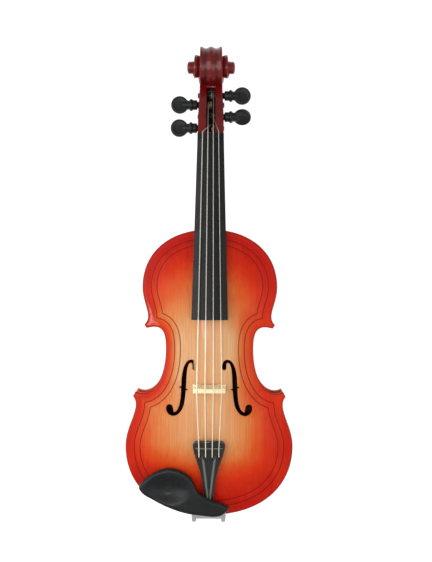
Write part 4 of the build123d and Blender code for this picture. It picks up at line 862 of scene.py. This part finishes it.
def pegbox():
    """Pegbox: a channel section with rounded wall tops and lower corners carried along the
    head; the floor of the slot rises to the wall tops at both ends."""
    stations = np.concatenate(
        [[470, 472, 474, 476, 477.2, 477.4, 477.8, 478.4, 479.4, 481], np.linspace(483, 536, 40), [537, 537.6]]
    )
    stations = np.concatenate([stations, [538.0, 538.6, 539.4], np.linspace(541, 560, 10)])
    arc = np.linspace(0, np.pi / 2, 6)
    rings = []
    for y in stations:
        high = curve_height(PEGBOX_TOP, y)
        low = curve_height(PEGBOX_LOW, y)
        half = np.interp(y, [470, 498, 545.8, 560], [16.25, 16.25, 14.2, 13.6])
        open_share = smooth_step(y, 477.3, 478.6) * (1 - smooth_step(y, 537.0, 539.0))
        floor = high - (high - curve_height(SLOT_FLOOR, y)) * open_share
        floor = min(floor, high - 0.02)
        slot = 5.5
        r = min(1.3, (high - floor) / 2 + 0.01)
        c = min(4.2, (high - low) / 3)
        inner_top = np.column_stack([slot + r - r * np.cos(arc), high - r + r * np.sin(arc)])
        outer_top = np.column_stack([half - r + r * np.sin(arc), high - r + r * np.cos(arc)])
        corner = np.column_stack([half - c + c * np.cos(arc), low + c - c * np.sin(arc)])
        right = np.vstack([[(0, floor), (slot - 0.6, floor), (slot, floor + 0.5 * r)], inner_top, outer_top])
        wall = [(half + 0.0, high * 0.6 + low * 0.4), (half - 0.1, high * 0.4 + low * 0.6)]
        right = np.vstack([right, wall, corner, [(half * 0.4, low), (0, low)]])
        left = (right * [-1, 1])[::-1][1:-1]
        ring = np.vstack([right, left])[::-1]
        rings.append(np.column_stack([ring[:, 0], np.full(len(ring), y), ring[:, 1]]))
    return tube(rings)


TURN_ANGLES = [-25, 0, 90, 180, 270, 360, 450, 540, 630, 700]
TURN_RADII = [29.0, 26.7, 26.7, 24.0, 20.6, 18.2, 16.2, 14.8, 13.4, 9.6]
TURN_WIDTHS = [14.2, 14.1, 14.0, 14.0, 14.8, 17.6, 20.6, 21.5, 21.6, 24.5]


def smooth_table(angle, places, values):
    """Smooth curve through a table: cubic pieces whose slopes are those of the neighbours."""
    places, values = np.array(places, dtype=float), np.array(values, dtype=float)
    slope = np.gradient(values, places)
    i = np.clip(np.searchsorted(places, angle, side="right") - 1, 0, len(places) - 2)
    span = places[i + 1] - places[i]
    t = np.clip((angle - places[i]) / span, 0, 1)
    a, b = values[i], values[i + 1]
    return (
        a * (1 + 2 * t) * (1 - t) ** 2
        + b * t * t * (3 - 2 * t)
        + slope[i] * span * t * (1 - t) ** 2
        - slope[i + 1] * span * t * t * (1 - t)
    )


def scroll():
    """Volute: a band wound inwards round the eye, wider with every turn.  Its outer face has
    two flutes between three ridges, and its sides are hollowed between turns."""
    angles = np.arange(-25, 701, 4.0)
    shadow = []
    radius = smooth_table(angles, TURN_ANGLES, TURN_RADII)
    half = smooth_table(angles, TURN_ANGLES, TURN_WIDTHS)
    next_turn = smooth_table(np.minimum(angles + 360, 700), TURN_ANGLES, TURN_RADII)
    inner = np.where(angles + 360 < 700, next_turn - 2, 4)
    across = np.linspace(-1, 1, 37)
    rings = []
    for angle, r, w, low in zip(np.radians(angles), radius, half, inner):
        flute = 2.4 * np.sin(np.pi * across) ** 2
        face = np.column_stack([across * (w - 0.9), r - flute])
        share = np.linspace(0, 1, 9)
        hollow = 1.5 * np.sin(np.pi * share) ** 0.8
        side = np.column_stack([w - hollow, (r - 1.0) + (low - r + 1.0) * share])
        bevel = np.array([(w - 0.3, r - 0.3)])
        ring = np.vstack([face, bevel, side, (side * [-1, 1])[::-1], bevel * [-1, 1]])
        y = SCROLL_Y + ring[:, 1] * np.sin(angle)
        z = SCROLL_Z - ring[:, 1] * np.cos(angle)
        rings.append(np.column_stack([ring[:, 0], y, z]))
        # Painted shade: darker in the flute valleys and towards the next turn inside on each side shelf.
        flutes, shelf = 0.5 * np.sin(np.pi * across) ** 2, 0.85 * share
        shadow.append(np.concatenate([flutes, [0], shelf, shelf[::-1], [0]]))
    eye = [(-30.5, 0.01), (-30.4, 3.0), (-29.9, 5.6), (-28.9, 7.2), (-27.6, 7.8), (-24.5, 7.6), (-21, 8.4)]
    eye += [(-a, r) for a, r in eye[::-1]]
    solids = [tube(rings), tube(turned(eye, (0, SCROLL_Y, SCROLL_Z), (1, 0, 0)))]
    return solids, np.concatenate([np.concatenate(shadow), np.zeros(2 + len(solids[1][0]))])


def build_neck():
    """Handle, pegbox and scroll as one piece, with painted shade in the slot, the flutes and the side shelves."""
    volute, shadow = scroll()
    points, faces = join_solids([neck_shaft(), pegbox()] + volute)
    x, y, z = points[: len(points) - len(shadow)].T
    # Painted shade: darker inside the pegbox slot.
    slot = (np.abs(x) < 5.6) & (y > 477.6) & (y < 539) & (z < curve_height(PEGBOX_TOP, y) - 2.2)
    hollow = np.concatenate([slot * 0.9, shadow * 0.9])
    neck = piece_mesh("neck_and_scroll", points, faces, "violin", HEAD, hollow=hollow)
    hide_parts("neck")


# ----------------------------------------------------------------------- pegs
PEGS = {
    "g": (17.0, 32.4, -1, 0),
    "e": (32.0, 28.6, 1, 50),
    "d": (48.0, 24.4, -1, 0),
    "a": (60.6, 20.9, 1, 0),
}


def build_pegs():
    """Turned pegs: tapered shank, thick shoulder and rounded collar, with a dished button for a head."""
    shank = [(-17.05, 0.01), (-17.0, 1.6), (-16.7, 2.9), (-16.0, 3.38), (17.3, 3.95), (17.4, 5.2), (17.8, 5.9)]
    shank += [(18.6, 6.2), (21.4, 6.1), (22.6, 6.0), (23.2, 6.3), (23.5, 7.0), (24.2, 7.5), (25.4, 7.6)]
    shank += [(26.4, 7.3), (27.0, 6.5), (27.6, 5.9), (28.6, 5.6), (31.0, 5.8), (34.0, 5.0), (37.0, 3.6), (38, 0.01)]
    head = [(-3.3, 0.01), (-3.3, 3.5), (-3.35, 6.2), (-3.6, 7.3), (-4.05, 8.2), (-4.2, 8.9), (-4.0, 9.7)]
    head += [(-3.4, 10.4), (-2.3, 10.9), (-0.9, 11.15)]
    head += [(-a, r) for a, r in head[::-1]]
    for name, (station, height, side, turn) in PEGS.items():
        centre = np.array([0, NUT_STATION + station, height])
        spin = radians(turn)
        normal = (0, -side * np.sin(spin), np.cos(spin))
        middle = centre + np.array([side * 39.8, 0, 0])
        solids = [tube(turned(shank, centre, (side, 0, 0))), tube(turned(head, middle, normal))]
        points, faces = join_solids(solids)
        peg = piece_mesh(f"tuning_peg_{name}", points, faces, f"{name}_peg_set", FITTINGS)
        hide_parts(f"peg_{name}")


# ------------------------------------------------------ tailpiece and chinrest
def tail_z(y):
    """Height of the tailpiece's middle line, which climbs evenly towards the bridge."""
    return 58.5 + 13.5 * (y - 14) / 82


def crown_drop(x, radius):
    """How far a circle of that radius has fallen at x from its top."""
    return radius - np.sqrt(np.maximum(radius**2 - x**2, 0.01))


def build_tailpiece():
    """Crowned slab that widens towards the bridge, with two crests beside a central valley."""
    top_half, end_half = 20.0, 6.5
    half = np.vstack(
        [
            [(0, 14), (3, 14)],
            bezier(((end_half - 3, 14), (end_half - 0.6, 14), (end_half, 16), (end_half, 20)), 8),
            bezier(((end_half, 20), (end_half + 0.4, 60), (top_half - 2.4, 70), (top_half, 89)), 30),
            bezier(((top_half, 89), (top_half, 94), (top_half - 3, 96), (top_half - 8, 96)), 10),
            [(top_half - 8, 96), (6, 96), (0, 96)],
        ]
    )
    outline = evened(mirrored(half), 1.0)
    turn = np.linspace(0, 2 * np.pi, 20, endpoint=False)
    holes = []
    for i in range(4):
        middle = 24.4 * (i / 3 - 0.5)
        holes.append(np.column_stack([middle + 1.9 * np.cos(turn), 76 + 1.9 * np.sin(turn)]))

    def crest_line(y):
        """How far each crest stands from the middle: it runs out evenly towards the string holes."""
        return np.clip(2.0 + 5.0 * (y - 30) / 42, 1.7, 7.2)

    def top(x, y, d):
        ridge = 1.6 * np.exp(-(((np.abs(x) - crest_line(y)) / 1.2) ** 2)) - 1.6 * np.exp(-((x / 1.4) ** 2))
        ridge = (ridge * 0.8 - 0.9) * (1 - smooth_step(y, 64, 72))
        return tail_z(y) - crown_drop(x, 60) - rounding(d, 1.6) + ridge - 0.05

    def low(x, y, d):
        return tail_z(y) - 5.6 - crown_drop(x, 60) + rounding(d, 1.4)

    rings = (0.1, 0.3, 0.6, 1.0, 1.6, 2.4)
    points, faces, _ = plate_solid(outline, holes, rings, 1.0, top, low)
    x, y = points[:, 0], points[:, 1]
    # Painted highlight along the two crests, and painted shade, near black, around the string holes.
    crest = np.exp(-(((np.abs(x) - crest_line(y)) / 1.3) ** 2)) * (1 - smooth_step(y, 72, 80))
    for hole in holes:
        near = np.hypot(x - hole[:, 0].mean(), (y - 75.2) * 0.8)
        crest = np.where(near < 3.0, -1.0, crest)
    piece = piece_mesh("tailpiece_body", points, faces, "violin", TAIL_FINISH, crest=crest)
    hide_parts("tailpiece")


REST_POINTS = [
    (-85.4, 36.3),
    (-72.3, 53.0),
    (-47.6, 61.8),
    (-24.5, 52.3),
    (-11.1, 30.9),
    (2.5, 22.9),
    (14.5, 19.6),
    (24.8, 12.5),
    (18.3, 5.4),
    (-12.6, 4.2),
    (-35.5, 8.6),
    (-53.8, 15.6),
    (-70.0, 23.8),
    (-80.8, 30.5),
]


def closed_curve(points, count):
    """Smooth closed curve through points: each span is a cubic with its neighbours' slopes."""
    p = np.array(points, dtype=float)
    ahead, behind = np.roll(p, -1, axis=0), np.roll(p, 1, axis=0)
    span = np.linalg.norm(ahead - p, axis=1)
    before = np.roll(span, 1)
    slope = (ahead - p) / span[:, None] * before[:, None] + (p - behind) / before[:, None] * span[:, None]
    slope /= (span + before)[:, None]
    t = np.linspace(0, 1, count, endpoint=False)[None, :, None]
    a, b = p[:, None], ahead[:, None]
    m, n = (slope * span[:, None])[:, None], (np.roll(slope, -1, axis=0) * span[:, None])[:, None]
    line = a * (1 + 2 * t) * (1 - t) ** 2 + b * t * t * (3 - 2 * t) + m * t * (1 - t) ** 2 - n * t * t * (1 - t)
    return line.reshape(-1, 2)


def build_chinrest():
    """Chinrest plate with a dished cup on the bass side and softly rounded edges."""
    outline = evened(closed_curve(REST_POINTS, 16), 1.3)

    def top(x, y, d):
        reach = np.sqrt(((x + 50) / 31) ** 2 + ((y - 36) / 21) ** 2)
        cup = 5.0 * (1 - smooth_step(reach, 0.15, 1.0))
        slope = 1.6 * smooth_step(x, -15, 20)
        return 70.0 - cup - slope - rounding(d, 4.0) * 0.85

    def low(x, y, d):
        return 61.5 + rounding(d, 3.0)

    rings = (0.1, 0.3, 0.7, 1.2, 1.9, 2.8, 4.0, 5.2)
    points, faces, _ = plate_solid(outline, [], rings, 1.8, top, low)
    piece = piece_mesh("chinrest_plate", points, faces, "violin", FITTINGS)
    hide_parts("chinrest")


build_belly()
build_back()
build_neck()
build_pegs()
build_tailpiece()
build_chinrest()


# ------------------------------------------------------- floor, light, camera
def build_floor():
    """Plain pale floor, three metres each way from the middle."""
    size = 3.0
    mesh = bpy.data.meshes.new("floor")
    corners = [(-size, -size, 0), (size, -size, 0), (size, size, 0), (-size, size, 0)]
    mesh.from_pydata(corners, [], [(0, 1, 2, 3)])
    floor = bpy.data.objects.new("floor", mesh)
    bpy.context.scene.collection.objects.link(floor)
    finish = Finish("floor_paper", Roughness=0.9, Emission_Strength=0.8)
    finish.shader.inputs["Emission Color"].default_value = (1, 1, 1, 1)
    finish.shader.inputs["Base Color"].default_value = (0.4, 0.4, 0.4, 1)
    mesh.materials.append(finish.material)


def soft_light(name, place, aim, size, power, colour=(1.0, 1.0, 1.0)):
    """Wide square lamp at a place, facing a point."""
    lamp = bpy.data.lights.new(name, "AREA")
    lamp.shape = "RECTANGLE"
    lamp.size, lamp.size_y = size
    lamp.energy = power
    lamp.color = colour
    holder = bpy.data.objects.new(name, lamp)
    holder.location = place
    heading = Vector(aim) - Vector(place)
    holder.rotation_euler = heading.to_track_quat("-Z", "Y").to_euler()
    bpy.context.scene.collection.objects.link(holder)


build_floor()
soft_light("left_window", (-1.3, 0.1, 1.1), (-0.1, 0, 0.05), (1.3, 1.8), 21)
soft_light("right_fill", (1.3, -0.2, 1.3), (0.1, 0, 0.05), (1.0, 1.4), 9)
soft_light("key_lamp", (-0.12, -0.1, 1.5), (0, 0, 0.05), (0.16, 0.16), 5)

world = bpy.data.worlds.new("studio")
world.use_nodes = True
world.node_tree.nodes["Background"].inputs["Color"].default_value = (1, 1, 1, 1)
world.node_tree.nodes["Background"].inputs["Strength"].default_value = 0.55
bpy.context.scene.world = world
bpy.context.scene.view_settings.view_transform = "Standard"

camera_data = bpy.data.cameras.new("camera")
camera_data.sensor_fit = "HORIZONTAL"
camera_data.sensor_width = 36.0
camera_data.lens = 70.26
camera = bpy.data.objects.new("camera", camera_data)
camera.location = (0.0076, 0.0017, 1.10)
camera.rotation_euler = (0, 0, radians(0.3))
bpy.context.scene.collection.objects.link(camera)
bpy.context.scene.camera = camera
